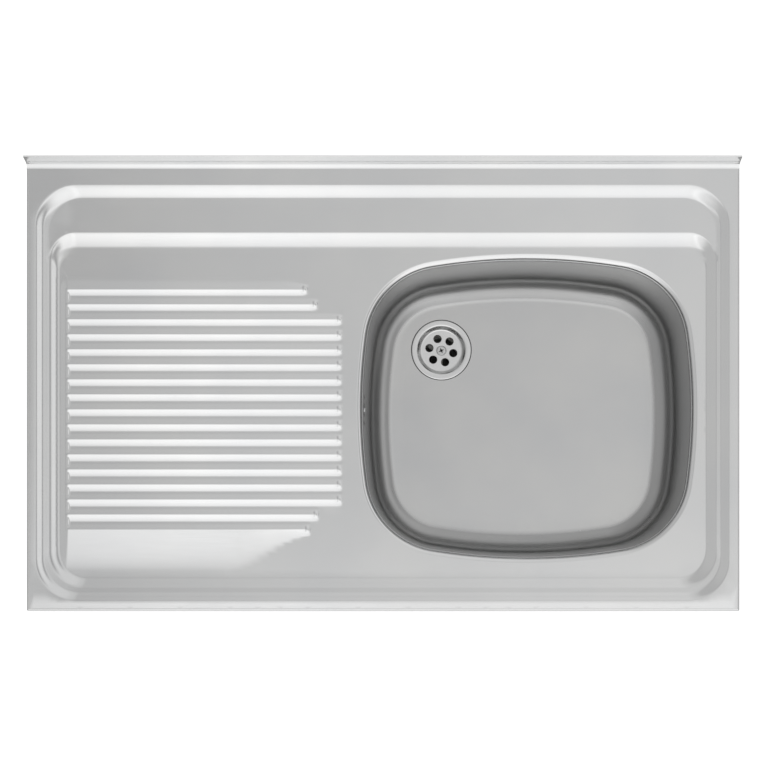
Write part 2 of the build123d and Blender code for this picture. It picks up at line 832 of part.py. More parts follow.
# Level direction from the waste's axis to the spigot's axis, and the direction square to both.
hose_heading = (Vector(spigot_x, spigot_y) - Vector(waste_x, waste_y)).normalized()
hose_across = Vector(-hose_heading.Y, hose_heading.X)
side_port_end = cup_radius + port_reach
waste_port_plane = Plane(
    origin=Vector(waste_x, waste_y, port_z) + hose_heading * side_port_end,
    x_dir=hose_across,
    z_dir=hose_heading,
)
spigot_end_z = overflow_z - head_height / 2 - nut_room - nut_grip
head_port_plane = Plane(origin=(spigot_x, spigot_y, spigot_end_z), x_dir=hose_across, z_dir=(0, 0, -1))

with BuildPart() as waste_body:
    cup_foot = -cup_depth
    floor_top = cup_wall - cup_depth
    with BuildSketch(Plane(origin=(waste_x, waste_y, body_top), x_dir=(1, 0, 0), z_dir=(0, -1, 0))):
        with BuildLine():
            Polyline(
                (cup_radius - cup_wall, 0),
                (body_flange_radius, 0),
                (body_flange_radius, -body_flange_thickness),
                (cup_radius, -body_flange_thickness),
                (cup_radius, cup_foot + cup_fillet),
                (cup_radius - cup_fillet, cup_foot),
                (outlet_radius, cup_foot),
                (outlet_radius, cup_foot - outlet_length),
                (outlet_bore, cup_foot - outlet_length),
                (outlet_bore, floor_top),
                (cup_radius - cup_wall - cup_fillet, floor_top),
                (cup_radius - cup_wall, floor_top + cup_fillet),
                close=True,
            )
        make_face()
    revolve(axis=waste_axis)
    # Side port for the overflow hose.
    with BuildSketch(waste_port_plane):
        Circle(port_radius)
    extrude(amount=cup_wall / 2 - port_reach - cup_wall)
    with BuildSketch(waste_port_plane):
        Circle(port_bore)
    extrude(amount=-(port_reach + 2 * cup_wall), mode=Mode.SUBTRACT)
    # Hub and spokes that hold the brass insert.
    with BuildSketch(Plane((waste_x, waste_y, hub_z))):
        Circle(hub_radius)
    extrude(amount=hub_height)
    with BuildSketch(Plane((waste_x, waste_y, hub_z))):
        with PolarLocations((cup_radius - cup_wall) / 2, spoke_count, start_angle=30):
            Rectangle(cup_radius - cup_wall + 2 * overlap, spoke_width)
    extrude(amount=spoke_height)
    with BuildSketch(Plane((waste_x, waste_y, insert_z))):
        Circle(insert_radius)
    extrude(amount=hub_height, mode=Mode.SUBTRACT)
    with BuildSketch(Plane((waste_x, waste_y, hub_z))):
        Circle(screw_radius + loose_clearance)
    extrude(amount=hub_height, mode=Mode.SUBTRACT)
waste_body.part.label = "waste_body"

with BuildPart() as screw_insert:
    with BuildSketch(Plane((waste_x, waste_y, insert_z))):
        Circle(insert_radius)
        Circle(screw_radius + fit_clearance, mode=Mode.SUBTRACT)
    extrude(amount=insert_height)
screw_insert.part.label = "screw_insert"

# ---------------------------------------------------------------- overflow

with BuildPart() as overflow_gasket:
    # Its face takes the bow of the bowl's wall.
    with BuildSketch(overflow_head_plane):
        RectangleRounded(head_width, head_height, head_corner)
        Rectangle(overflow_window_width, overflow_window_height, mode=Mode.SUBTRACT)
    extrude(amount=-2 * overflow_gasket_thickness)
    add(bowl_form(sheet), mode=Mode.SUBTRACT)
overflow_gasket.part.label = "overflow_gasket"

overflow_seat_plane = wall_plane.offset(-screw_head_gap)  # under the screw's head
overflow_screw_face = Plane(
    origin=overflow_seat_plane.offset(-overflow_screw_head_height).origin,
    x_dir=wall_plane.x_dir,
    z_dir=-wall_plane.z_dir,
)
overflow_screw_tip = overflow_screw_length - overflow_screw_head_height  # shank past the head
head_insert_start = overflow_screw_tip - head_insert_length - sheet - overflow_gasket_thickness + 0.5

with BuildPart() as overflow_screw:
    # Pan head against the wall, shank through the wall, the window and the head's insert.
    with BuildSketch(overflow_seat_plane):
        Circle(overflow_screw_head_radius)
    extrude(amount=-overflow_screw_head_height)
    rim_edge = overflow_screw.edges().sort_by(Axis.X)[-1]
    fillet(rim_edge, 0.6 * overflow_screw_head_height)
    with BuildSketch(overflow_seat_plane):
        Circle(overflow_screw_radius)
    extrude(amount=overflow_screw_tip)
    with BuildSketch(overflow_screw_face):
        with Locations(Rotation(0, 0, cross_turn)):
            Rectangle(2 * cross_share * overflow_screw_head_radius, cross_width)
            Rectangle(cross_width, 2 * cross_share * overflow_screw_head_radius)
    extrude(amount=-0.7 * overflow_screw_head_height, mode=Mode.SUBTRACT)
overflow_screw.part.label = "overflow_screw"

with BuildPart() as overflow_head:
    with BuildSketch(overflow_head_plane):
        RectangleRounded(head_width, head_height, head_corner)
    extrude(amount=head_depth)
    fillet(overflow_head.faces().sort_by(Axis.X)[0].edges(), head_wall)
    # Elbow that turns down into the spigot.
    with BuildSketch(Plane((spigot_x, spigot_y, spigot_end_z))):
        Circle(port_radius)
    extrude(amount=overflow_z + head_wall - spigot_end_z)
    with BuildSketch(overflow_head_plane.offset(head_wall)):
        Rectangle(2 * port_radius, 2 * head_wall)
    extrude(amount=head_elbow_reach - head_wall)
    with BuildSketch(overflow_head_plane):
        RectangleRounded(head_width - 2 * head_wall, head_height - 2 * head_wall, head_corner - head_wall)
    extrude(amount=head_depth - head_wall, mode=Mode.SUBTRACT)
    # Boss for the brass insert, standing on the back wall of the chamber.
    with BuildSketch(overflow_head_plane.offset(head_insert_start)):
        Circle(head_insert_radius + head_boss_wall)
    extrude(amount=head_depth - head_insert_start)
    with BuildSketch(Plane((spigot_x, spigot_y, spigot_end_z))):
        Circle(port_bore)
    extrude(amount=overflow_z - head_insert_radius - spigot_end_z, mode=Mode.SUBTRACT)
    passage_drop = head_insert_radius + head_boss_wall + head_passage_height / 2
    with BuildSketch(overflow_head_plane.offset(head_depth - 2 * head_wall)):
        with Locations((0, passage_drop)):
            Rectangle(head_passage_width, head_passage_height)
    extrude(amount=head_elbow_reach - head_depth + 2 * head_wall, mode=Mode.SUBTRACT)
    with BuildSketch(overflow_head_plane.offset(head_insert_start)):
        Circle(head_insert_radius)
    extrude(amount=head_insert_length, mode=Mode.SUBTRACT)
overflow_head.part.label = "overflow_head"

with BuildPart() as head_insert:
    with BuildSketch(overflow_head_plane.offset(head_insert_start)):
        Circle(head_insert_radius)
        Circle(overflow_screw_radius + fit_clearance, mode=Mode.SUBTRACT)
    extrude(amount=head_insert_length)
head_insert.part.label = "head_insert"

# ---------------------------------------------------------------- hose and its nuts

with BuildLine() as hose_path:
    corner = Vector(spigot_x, spigot_y, port_z)
    upper_end = head_port_plane.origin - head_port_plane.z_dir * cuff_insertion
    lower_end = waste_port_plane.origin - waste_port_plane.z_dir * cuff_insertion
    FilletPolyline(upper_end, corner, lower_end, radius=hose_bend_radius)
hose_line = hose_path.wire()
hose_length = hose_line.length
rib_count = int((hose_length - 2 * cuff_length) / hose_rib_pitch)
first_rib = (hose_length - rib_count * hose_rib_pitch) / 2


def hose_circle(along, radius):
    """A circle square to the hose at a distance along it, with a steady X axis."""
    share = along / hose_length
    plane = Plane(origin=hose_line @ share, x_dir=hose_across, z_dir=hose_line % share)
    with BuildSketch(plane) as circle:
        Circle(radius)
    return circle.sketch.face()


def hose_circles():
    """Circles from end to end: the smooth cuff, then four circles for each rib, then the cuff."""
    circles = [hose_circle(0, cuff_radius), hose_circle(first_rib - 0.5, cuff_radius)]
    rib_shares = ((0, hose_root), (0.2, hose_root), (0.4, hose_crest), (0.8, hose_crest))
    for rib in range(rib_count):
        for share, radius in rib_shares:
            circles.append(hose_circle(first_rib + (rib + share) * hose_rib_pitch, radius))
    circles.append(hose_circle(hose_length - first_rib, hose_root))
    circles.append(hose_circle(hose_length - first_rib + 0.5, cuff_radius))
    circles.append(hose_circle(hose_length, cuff_radius))
    return circles


with BuildPart() as overflow_hose:
    loft(hose_circles(), ruled=True)
    with BuildSketch(Plane(origin=hose_line @ 0, x_dir=hose_across, z_dir=hose_line % 0)):
        Circle(hose_bore)
    sweep(path=hose_line, mode=Mode.SUBTRACT)
overflow_hose.part.label = "overflow_hose"


def seal_form(port_plane):
    """A flat seal between the end of a port and its nut."""
    with BuildPart() as form:
        with BuildSketch(port_plane):
            Circle(port_radius)
            Circle(cuff_radius, mode=Mode.SUBTRACT)
        extrude(amount=seal_thickness)
    return form.part


def nut_form(port_plane):
    """A fluted union nut: its bore turns on the port, and its end wall presses the seal."""
    foot = port_plane.offset(-nut_grip)
    length = nut_grip + seal_thickness + nut_end_wall
    with BuildPart() as form:
        with BuildSketch(foot):
            Circle(nut_radius)
            with PolarLocations(nut_radius, nut_flutes):
                Circle(nut_flute_radius, mode=Mode.SUBTRACT)
        extrude(amount=length)
        with BuildSketch(foot):
            Circle(port_radius + fit_clearance)
        extrude(amount=nut_grip + seal_thickness, mode=Mode.SUBTRACT)
        with BuildSketch(foot):
            Circle(cuff_radius + loose_clearance)
        extrude(amount=length, mode=Mode.SUBTRACT)
    return form.part


with BuildPart() as hose_seal_head:
    add(seal_form(head_port_plane))
hose_seal_head.part.label = "hose_seal_head"

with BuildPart() as hose_seal_body:
    add(seal_form(waste_port_plane))
hose_seal_body.part.label = "hose_seal_body"

with BuildPart() as hose_nut_head:
    add(nut_form(head_port_plane))
hose_nut_head.part.label = "hose_nut_head"

with BuildPart() as hose_nut_body:
    add(nut_form(waste_port_plane))
hose_nut_body.part.label = "hose_nut_body"

print(f"hose: {hose_length:.1f} mm along its centre, {rib_count} ribs, bend radius {hose_bend_radius} mm")
print(f"screw axes: waste {waste_x}, {waste_y}, {dish_z:.2f}; overflow {wall_plane.origin}")
print(f"hose nuts: head {head_port_plane.origin}, body {waste_port_plane.origin} along {hose_heading}")

# ---------------------------------------------------------------- files

finished = [
    deck,
    bowl,
    left_batten,
    right_batten,
    front_batten,
    rear_batten,
    bracket_screws,
    drainboard_stiffener_left,
    drainboard_stiffener_right,
    drainboard_sound_pad,
    bowl_sound_pad,
    waste_strainer,
    strainer_gasket,
    strainer_screw,
    body_gasket,
    waste_body,
    screw_insert,
    overflow_gasket,
    overflow_head,
    overflow_screw,
    head_insert,
    overflow_hose,
    hose_nut_head,
    hose_nut_body,
    hose_seal_head,
    hose_seal_body,
]
for piece in finished:
    export_step(piece.part, f"parts/{piece.part.label}.step")
for name, bracket in brackets.items():
    export_step(bracket, f"parts/{name}.step")
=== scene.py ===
import json
import math

import bpy
import numpy as np
from mathutils import Matrix, Vector, geometry, kdtree


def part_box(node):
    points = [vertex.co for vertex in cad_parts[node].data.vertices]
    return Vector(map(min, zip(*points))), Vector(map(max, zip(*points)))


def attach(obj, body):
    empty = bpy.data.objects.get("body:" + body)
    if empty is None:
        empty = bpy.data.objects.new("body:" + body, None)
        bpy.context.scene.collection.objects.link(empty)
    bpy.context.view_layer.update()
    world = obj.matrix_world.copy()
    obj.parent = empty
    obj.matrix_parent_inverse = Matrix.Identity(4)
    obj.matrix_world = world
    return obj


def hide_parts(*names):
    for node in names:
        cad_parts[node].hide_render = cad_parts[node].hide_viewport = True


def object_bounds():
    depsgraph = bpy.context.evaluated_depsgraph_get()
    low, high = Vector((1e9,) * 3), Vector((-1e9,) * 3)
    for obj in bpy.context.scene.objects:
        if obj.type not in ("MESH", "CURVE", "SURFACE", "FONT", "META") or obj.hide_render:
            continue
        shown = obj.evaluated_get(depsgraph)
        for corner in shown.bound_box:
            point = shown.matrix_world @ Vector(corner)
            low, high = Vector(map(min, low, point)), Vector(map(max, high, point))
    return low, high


# A lay-on kitchen sink with drainboard, dressed over its CAD frame. Shapes are worked out in millimetres
# and made in metres.

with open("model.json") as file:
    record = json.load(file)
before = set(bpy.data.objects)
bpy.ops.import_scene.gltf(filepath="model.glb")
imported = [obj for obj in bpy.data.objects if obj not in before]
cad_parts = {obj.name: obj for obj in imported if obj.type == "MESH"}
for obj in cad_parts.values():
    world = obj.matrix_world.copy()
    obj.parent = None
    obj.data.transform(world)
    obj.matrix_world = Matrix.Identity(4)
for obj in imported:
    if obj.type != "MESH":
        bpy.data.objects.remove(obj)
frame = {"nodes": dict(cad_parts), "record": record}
cad_low, cad_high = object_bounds()
MM = 0.001


# ---------------------------------------------------------------- sizes, in millimetres


def frame_box(node):
    """The lowest and highest corners of a CAD node in millimetres."""
    low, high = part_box(node)
    return low / MM, high / MM


deck_low, deck_high = frame_box("deck")
bowl_low, bowl_high = frame_box("bowl")
strainer_low, strainer_high = frame_box("waste_strainer")

sheet = 0.8
rim_z = 38.0
bend = 2.0  # outside radius of the folds
fold_width = 12.0  # inward fold at the foot of the skirts
left_x, right_x = deck_low.x, deck_high.x
front_y = deck_low.y
back_y = -front_y  # foot of the upstand
rear_y = back_y + 2 * sheet  # outer face of the rear skirt
rear_corner = 0.3  # radius of the deck's two corners at the back
rim_fall = 0.5  # how far the front rim leans down to its bend
upstand_height = deck_high.z - rim_z
upstand_lean = 3.7  # how far its top leans back
upstand_foot = 7.5  # radius at its foot
tuck = 1.8  # how far its back leaf reaches down behind the rear bend
sunk = 0.3  # how deep its closed underside lies inside the deck's sheet

# Recess in the deck
recess_left, recess_right = left_x + 10.4, right_x - 12.4
recess_front, recess_back = front_y + 12.9, back_y - 23.8
recess_corner = 45.0
recess_steps = ((-1.5, 10.0, 4.2), (6.0, 9.0, 0.6))  # (start of each soft step inwards, width, drop)
last_run = 14.2
pan_wall_run = (15.5, 22.0)
pan_corner_front, pan_corner_back = 38.0, 28.0
pan_corner_loss = 4.0  # what these radii lose down the wall
pan_wall_back = (back_y - 77.4, back_y - 91.9)  # front of the tap ledge, and its foot
ledge_drop = 4.8
pan_drop = 9.5
pan_z = rim_z - pan_drop
pan_step = (-0.46, 1.92)  # where the soft step down to the pan starts, and its width, as shares of that run
pan_back_step, pan_crease = 1.25, 0.08  # its width along the tap ledge, and the crease where that starts
back_step = (-1.0, last_run + 1.5)  # start and width of the one soft step at the back of the recess
back_blend = (42.0, 30.0)  # how far before the recess's back the side steps begin to join it, over what run
ledge_blend = 14.0  # the same for the pan's side steps and the ledge
crease_reach = 0.35  # how far round a point its height is averaged
front_level = 1.2  # strip of the front rim beside its bend that doesn't lean further

# Ridged field of the drainboard
trough_count = 16
trough_pitch = 16.9
trough_depth = 2.1
trough_half = 7.95
trough_end_run = 3.6
trough_ease, trough_end_ease = 0.12, 0.25  # how softly troughs leave the ridges and their left ends
field_inset = 1.2  # how far the trough ends run out into the field's own slope
field_ease = 0.6  # of the corner where that slope starts
field_left = left_x + 43.5
field_back = back_y - 139.7
field_front = field_back - trough_count * trough_pitch
field_height_left, field_height_right = 3.2, 1.9
left_slope_run = 9.0
back_slope_run, back_slope_end = 14.0, 8.0  # the slope down behind the first ridge, and at that ridge's end
back_slope_fade, back_slope_settled = 30.0, 2.0  # from how far before the ridge's end to how far it narrows
front_slope_run, front_slope_end = 46.0, 8.0  # the same down from the last ridge to the front
front_slope_fade, front_slope_settled = 90.0, 5.0
side_bow, front_bow, front_bow_run = 2.0, 1.6, 12.0  # how hollow these slopes are, and where that changes
nose_run = 9.0  # length over which each ridge falls to its end towards the bowl
nose_radius, nose_ease = 4.5, 0.3  # of the round knob on that end
short_ridges = {0: 38.7, 1: 27.4, trough_count - 1: 26.3, trough_count: 35.8}  # ridge: how much shorter

# Bowl
seam_z = bowl_high.z
bowl_x, bowl_y = (bowl_low.x + bowl_high.x) / 2, (bowl_low.y + bowl_high.y) / 2
bowl_half_x = (bowl_high.x - bowl_low.x) / 2 - sheet
bowl_half_y = (bowl_high.y - bowl_low.y) / 2 - sheet
bowl_side_radius, bowl_end_radius, bowl_corner_radius = 615.0, 660.0, 88.0
bowl_draft = math.radians(3.0)
bowl_floor_radius = 26.0
bead_height, bead_depth = 1.6, 0.42  # of the weld bead under the seam
waste_recess_radius, waste_recess_depth, waste_recess_slope = 35.9, 1.8, 0.5
waste_hole_radius = 30.0
floor_z = bowl_low.z + sheet + waste_recess_depth
lip_radius = 7.0
field_right = bowl_x - bowl_half_x - 22.2
field_length = field_right - field_left

waste_x, waste_y = (strainer_low.x + strainer_high.x) / 2, (strainer_low.y + strainer_high.y) / 2
overflow_z = rim_z - 40.0


# ---------------------------------------------------------------- mesh in code


def ramp(distance, ease):
    """Nothing before 0 and the distance itself after it, with the corner eased."""
    share = np.clip((distance + ease) / (2 * ease), 0, 1)
    return np.where(distance > ease, distance, ease * share * share)


def smooth_max(a, b, ease):
    return np.maximum(a, b) + np.maximum(ease - np.abs(a - b), 0) ** 2 / (4 * ease)


def smooth_min(a, b, ease):
    return -smooth_max(-a, -b, ease)


def along_arc(steps, start, stop):
    """Angles in radians from start to stop, given in degrees."""
    return [math.radians(start + (stop - start) * step / steps) for step in range(steps + 1)]


def ring_faces(rings, stations):
    """Quads between closed rings of points laid out one ring after another."""
    faces = []
    for ring in range(rings - 1):
        for station in range(stations):
            following = (station + 1) % stations
            a = ring * stations
            b = a + stations
            faces.append((a + station, a + following, b + following, b + station))
    return faces


def turned_over(part):
    """The same part with its faces turned the other way."""
    return part[0], part[1], [tuple(reversed(face)) for face in part[2]]


def code_mesh(name, parts, keep_normals=True):
    """One closed mesh from parts of (points, normals, faces), joined where their points meet."""
    points = np.concatenate([part[0] for part in parts])
    normals = np.concatenate([part[1] for part in parts])
    _, first, index = np.unique(np.round(points, 3), axis=0, return_index=True, return_inverse=True)
    index = index.reshape(-1)
    faces = []
    start = 0
    for part_points, _, part_faces in parts:
        for face in part_faces:
            corners = []
            for corner in face:
                joined = int(index[corner + start])
                if joined not in corners:
                    corners.append(joined)
            if len(corners) > 2:
                faces.append(corners)
        start += len(part_points)
    mesh = bpy.data.meshes.new(name)
    mesh.from_pydata((points[first] * MM).tolist(), [], faces)
    mesh.update()
    mesh.shade_smooth()
    if keep_normals:
        mesh.normals_split_custom_set_from_vertices(normals[first].tolist())
    piece = bpy.data.objects.new(name, mesh)
    bpy.context.scene.collection.objects.link(piece)
    return piece


def triangulated(points, loops, rows=()):
    """Triangles over flat points; loops and the pairs in rows are edges that must be kept."""
    edges = list(rows)
    for loop in loops:
        edges += [(a, b) for a, b in zip(loop, loop[1:] + loop[:1])]
    flat = [Vector(point) for point in points]
    result = geometry.delaunay_2d_cdt(flat, edges, [], 0, 1e-4, False)
    return np.array([tuple(point) for point in result[0]]), np.array([tuple(face) for face in result[2]])


def spread_out(groups, gaps):
    """Points of all groups, without those nearer than their group's gap to one that is kept."""
    kept = [tuple(point) for point in groups[0]]
    for group, gap in zip(groups[1:], gaps):
        tree = kdtree.KDTree(len(kept))
        for number, point in enumerate(kept):
            tree.insert((point[0], point[1], 0), number)
        tree.balance()
        for point in group:
            if tree.find((point[0], point[1], 0))[2] > gap:
                kept.append(tuple(point))
    return np.array(kept)


def two_sided(points, triangles, height, hole):
    """Top and underside of a pressed sheet over flat points, without the triangles in the hole."""
    middles = points[triangles].mean(axis=1)
    triangles = triangles[~hole(middles[:, 0], middles[:, 1])]
    x, y = points[:, 0], points[:, 1]
    step = 0.25
    slope_x = (height(x + step, y) - height(x - step, y)) / (2 * step)
    slope_y = (height(x, y + step) - height(x, y - step)) / (2 * step)
    top = np.column_stack((x, y, height(x, y)))
    length = np.sqrt(1 + slope_x**2 + slope_y**2)
    normals = np.column_stack((-slope_x, -slope_y, np.ones(len(x)))) / length[:, None]
    thickness = sheet * np.where(length < 1.002, 1.0, length)
    under = top - np.column_stack((0 * x, 0 * x, thickness))
    upward = [tuple(face) for face in triangles]
    downward = [tuple(face[::-1]) for face in triangles]
    return [(top, normals, upward), (under, -normals, downward)]


# ---------------------------------------------------------------- outlines of the deck

ring_spacing = 8.0  # between points along the straight sides
column_spacing = 9.0  # between points along the ridges
fill_spacing = 12.0  # between points on the plain flats


def box_distance(x, y, box):
    """Signed distance to a rounded box (left, right, front, back, front corner, back corner)."""
    left, right, front, back, front_corner, back_corner = box
    radius = np.where(y < (front + back) / 2, front_corner, back_corner)
    across = np.abs(x - (left + right) / 2) - (right - left) / 2 + radius
    along = np.abs(y - (front + back) / 2) - (back - front) / 2 + radius
    corner = np.hypot(np.maximum(across, 0), np.maximum(along, 0))
    return corner + np.minimum(np.maximum(across, along), 0) - radius


def box_between(outer, inner, share):
    return [a + (b - a) * share for a, b in zip(outer, inner)]


def share_inward(x, y, outer, inner):
    """How far points have come from the outer box, 0, to the inner one, 1."""
    low = np.full(np.shape(x), -0.8)
    high = np.full(np.shape(x), 2.0)
    for _ in range(22):
        middle = (low + high) / 2
        inside = box_distance(x, y, box_between(outer, inner, middle)) < 0
        low = np.where(inside, middle, low)
        high = np.where(inside, high, middle)
    return (low + high) / 2


def recess_box(run):
    corner = recess_corner - run / 2
    return (recess_left + run, recess_right - run, recess_front + run, recess_back - run, corner, corner)


def pan_box(share):
    run = pan_wall_run[0] + (pan_wall_run[1] - pan_wall_run[0]) * share
    back = pan_wall_back[0] + (pan_wall_back[1] - pan_wall_back[0]) * share
    front_corner = pan_corner_front - pan_corner_loss * share
    back_corner = pan_corner_back - pan_corner_loss * share
    return (recess_left + run, recess_right - run, recess_front + run, back, front_corner, back_corner)


def box_ring(box, corner_steps=18):
    """Points round a rounded box; along its straight sides all such rings share their columns and rows."""
    left, right, front, back, front_corner, back_corner = box
    corners = (
        (right - front_corner, front + front_corner, front_corner, -90),
        (right - back_corner, back - back_corner, back_corner, 0),
        (left + back_corner, back - back_corner, back_corner, 90),
        (left + front_corner, front + front_corner, front_corner, 180),
    )
    points = []
    for x, y, radius, start in corners:
        turns = along_arc(corner_steps, start, start + 90)
        points += [(x + radius * math.cos(turn), y + radius * math.sin(turn)) for turn in turns]
    columns = np.arange(left_x, right_x, ring_spacing)
    for y, corner in ((front, front_corner), (back, back_corner)):
        points += [(x, y) for x in columns if left + corner < x < right - corner]
    for y in np.arange(front_y, back_y, ring_spacing):
        if front + front_corner < y < back - back_corner:
            points += [(left, y), (right, y)]
    return points


# ---------------------------------------------------------------- outline of the bowl

side_centre = Vector((bowl_half_x - bowl_side_radius, 0))
end_centre = Vector((0, bowl_half_y - bowl_end_radius))
side_reach = bowl_side_radius - bowl_corner_radius
end_reach = bowl_end_radius - bowl_corner_radius
centre_gap = end_centre - side_centre
gap_along = (side_reach**2 - end_reach**2 + centre_gap.length**2) / (2 * centre_gap.length)
gap_across = math.sqrt(side_reach**2 - gap_along**2)
gap_heading = centre_gap.normalized()
gap_aside = Vector((-gap_heading.y, gap_heading.x)) * gap_across
corner_centre = side_centre + gap_heading * gap_along + gap_aside
if corner_centre.x < 0 or corner_centre.y < 0:
    corner_centre -= 2 * gap_aside
side_turn = math.atan2(corner_centre.y, corner_centre.x - side_centre.x)
end_turn = math.atan2(corner_centre.y - end_centre.y, corner_centre.x)


def bowl_turns():
    """Directions that the bowl's wall faces, station by station, right round."""
    quarter = [side_turn * step / 14 for step in range(14)]
    quarter += [side_turn + (end_turn - side_turn) * step / 26 for step in range(26)]
    quarter += [end_turn + (math.pi / 2 - end_turn) * step / 14 for step in range(14)]
    mirrored = [math.pi - turn for turn in reversed(quarter[1:])]
    half = quarter + [math.pi / 2] + mirrored
    return np.array(half + [turn + math.pi for turn in half])


bowl_stations = bowl_turns()
bowl_facing = np.column_stack((np.cos(bowl_stations), np.sin(bowl_stations)))


def bowl_ring(offset):
    """The bowl's outline moved out by offset, as one point for each station."""
    points = []
    for across, along in bowl_facing:
        turn = math.atan2(abs(along), abs(across))
        if turn < side_turn:
            centre, radius = side_centre, bowl_side_radius
        elif turn < end_turn:
            centre, radius = corner_centre, bowl_corner_radius
        else:
            centre, radius = end_centre, bowl_end_radius
        x = centre.x + (radius + offset) * math.cos(turn)
        y = centre.y + (radius + offset) * math.sin(turn)
        points.append((bowl_x + math.copysign(x, across), bowl_y + math.copysign(y, along)))
    return np.array(points)


def in_bowl(x, y, offset):
    """Whether points lie inside the bowl's outline moved out by offset."""
    across = np.abs(x - bowl_x)
    along = np.abs(y - bowl_y)
    in_side = np.hypot(across - side_centre.x, along) < bowl_side_radius + offset
    in_end = np.hypot(across, along - end_centre.y) < bowl_end_radius + offset
    near_corner = (
        (np.arctan2(along, across - side_centre.x) > side_turn)
        & (np.arctan2(along - end_centre.y, across) < end_turn)
    )
    in_corner = np.hypot(across - corner_centre.x, along - corner_centre.y) < bowl_corner_radius + offset
    return in_side & in_end & (~near_corner | in_corner)


def bowl_strip(profile):
    """Rings round the bowl along a profile of (offset, z, outward share, upward share of the normal)."""
    points, normals = [], []
    for offset, z, outward, upward in profile:
        ring = bowl_ring(offset)
        points.append(np.column_stack((ring, np.full(len(ring), z))))
        normals.append(np.column_stack((bowl_facing * outward, np.full(len(ring), upward))))
    return np.concatenate(points), np.concatenate(normals), ring_faces(len(profile), len(bowl_stations))


# ---------------------------------------------------------------- deck


def ridge_ends():
    """Right end and middle line of each ridge between the troughs, from the back to the front."""
    ends = []
    for number in range(trough_count + 1):
        ends.append((field_right - short_ridges.get(number, 0.0), field_back - number * trough_pitch))
    return ends


def soft_step(share):
    share = np.clip(share, 0, 1)
    return share * share * (3 - 2 * share)


def field_rise(x, y):
    """Height of the ridged field: closed at the left, its ridges ending in knobs at the right."""
    ends = np.array(ridge_ends())
    number = np.clip(np.round((field_back - y) / trough_pitch), 0, trough_count).astype(int)
    end, middle = ends[number, 0], ends[number, 1]
    fall = np.clip((x - field_left) / field_length, -0.05, 1.05)
    crest = field_height_left + (field_height_right - field_height_left) * fall
    before = field_front - y
    narrowed = soft_step((x - end + front_slope_fade) / (front_slope_fade - front_slope_settled))
    front_run = front_slope_run + (front_slope_end - front_slope_run) * narrowed
    narrowed = soft_step((x - end + back_slope_fade) / (back_slope_fade - back_slope_settled))
    back_run = back_slope_run + (back_slope_end - back_slope_run) * narrowed
    beyond = np.maximum(ramp(y - field_back, field_ease) / back_run, ramp(before, field_ease) / front_run)
    beyond = np.hypot(beyond, ramp(field_left + field_inset - x, field_ease) / left_slope_run)
    bow = side_bow + (front_bow - side_bow) * np.clip((before + front_bow_run) / front_bow_run, 0, 1)
    plateau = crest * (1 - np.clip(beyond, 0, 1)) ** bow
    inside = (y < field_back) & (y > field_front)
    aside = (trough_pitch / 2 - np.abs(y - middle)) / trough_half
    trough = np.where(inside, trough_depth * (1 - aside**2), 0.0)
    trough = smooth_min(trough, (x - field_left) * trough_depth / trough_end_run, trough_end_ease)
    ending = np.clip((x - end + nose_run) / nose_run, 0, 1)
    rise = (plateau - ramp(trough, trough_ease)) * (1 - ending**2)
    from_knob = np.hypot(x - end + nose_radius, y - middle)
    knob = crest * (1 - (from_knob / nose_radius) ** 2)
    return smooth_max(rise, knob, nose_ease)


def front_fall(y):
    """How far the front rim has sunk where its bend starts."""
    share = np.clip((recess_front - y) / (recess_front - front_y - bend - front_level), 0, 1)
    return rim_fall * share


def sharp_height(x, y):
    """Height of the pressed sheet: steps of the recess and the pan, ridged field and leaning front rim."""
    run = share_inward(x, y, recess_box(0), recess_box(last_run)) * last_run
    swept = ledge_drop * soft_step((run - back_step[0]) / back_step[1])
    fall = sum(drop * soft_step((run - start) / width) for start, width, drop in recess_steps)
    back = soft_step((y - recess_back + back_blend[0]) / back_blend[1])
    fall = fall * (1 - back) + swept * back
    share = share_inward(x, y, pan_box(0), pan_box(1))
    creased = 1 - (1 - np.clip(ramp(share, pan_crease) / pan_back_step, 0, 1)) ** 2
    at_ledge = soft_step((y - pan_wall_back[1] + ledge_blend) / ledge_blend)
    step = soft_step((share - pan_step[0]) / pan_step[1]) * (1 - at_ledge) + creased * at_ledge
    return rim_z - fall - (pan_drop - ledge_drop) * step + field_rise(x, y) - front_fall(y)


def deck_height(x, y):
    """Height of the pressed sheet, its creases rounded by taking the mean of four near points."""
    reach = crease_reach
    corners = ((reach, reach), (-reach, reach), (-reach, -reach), (reach, -reach))
    return sum(sharp_height(x + across, y + along) for across, along in corners) / len(corners)


def arc_profile(offset, z, radius, steps, start, stop, facing=1):
    """(offset, z, outward, upward) along an arc round a point; facing -1 turns its normals inwards."""
    profile = []
    for turn in along_arc(steps, start, stop):
        outward, upward = math.cos(turn), math.sin(turn)
        profile.append((offset + radius * outward, z + radius * upward, facing * outward, facing * upward))
    return profile


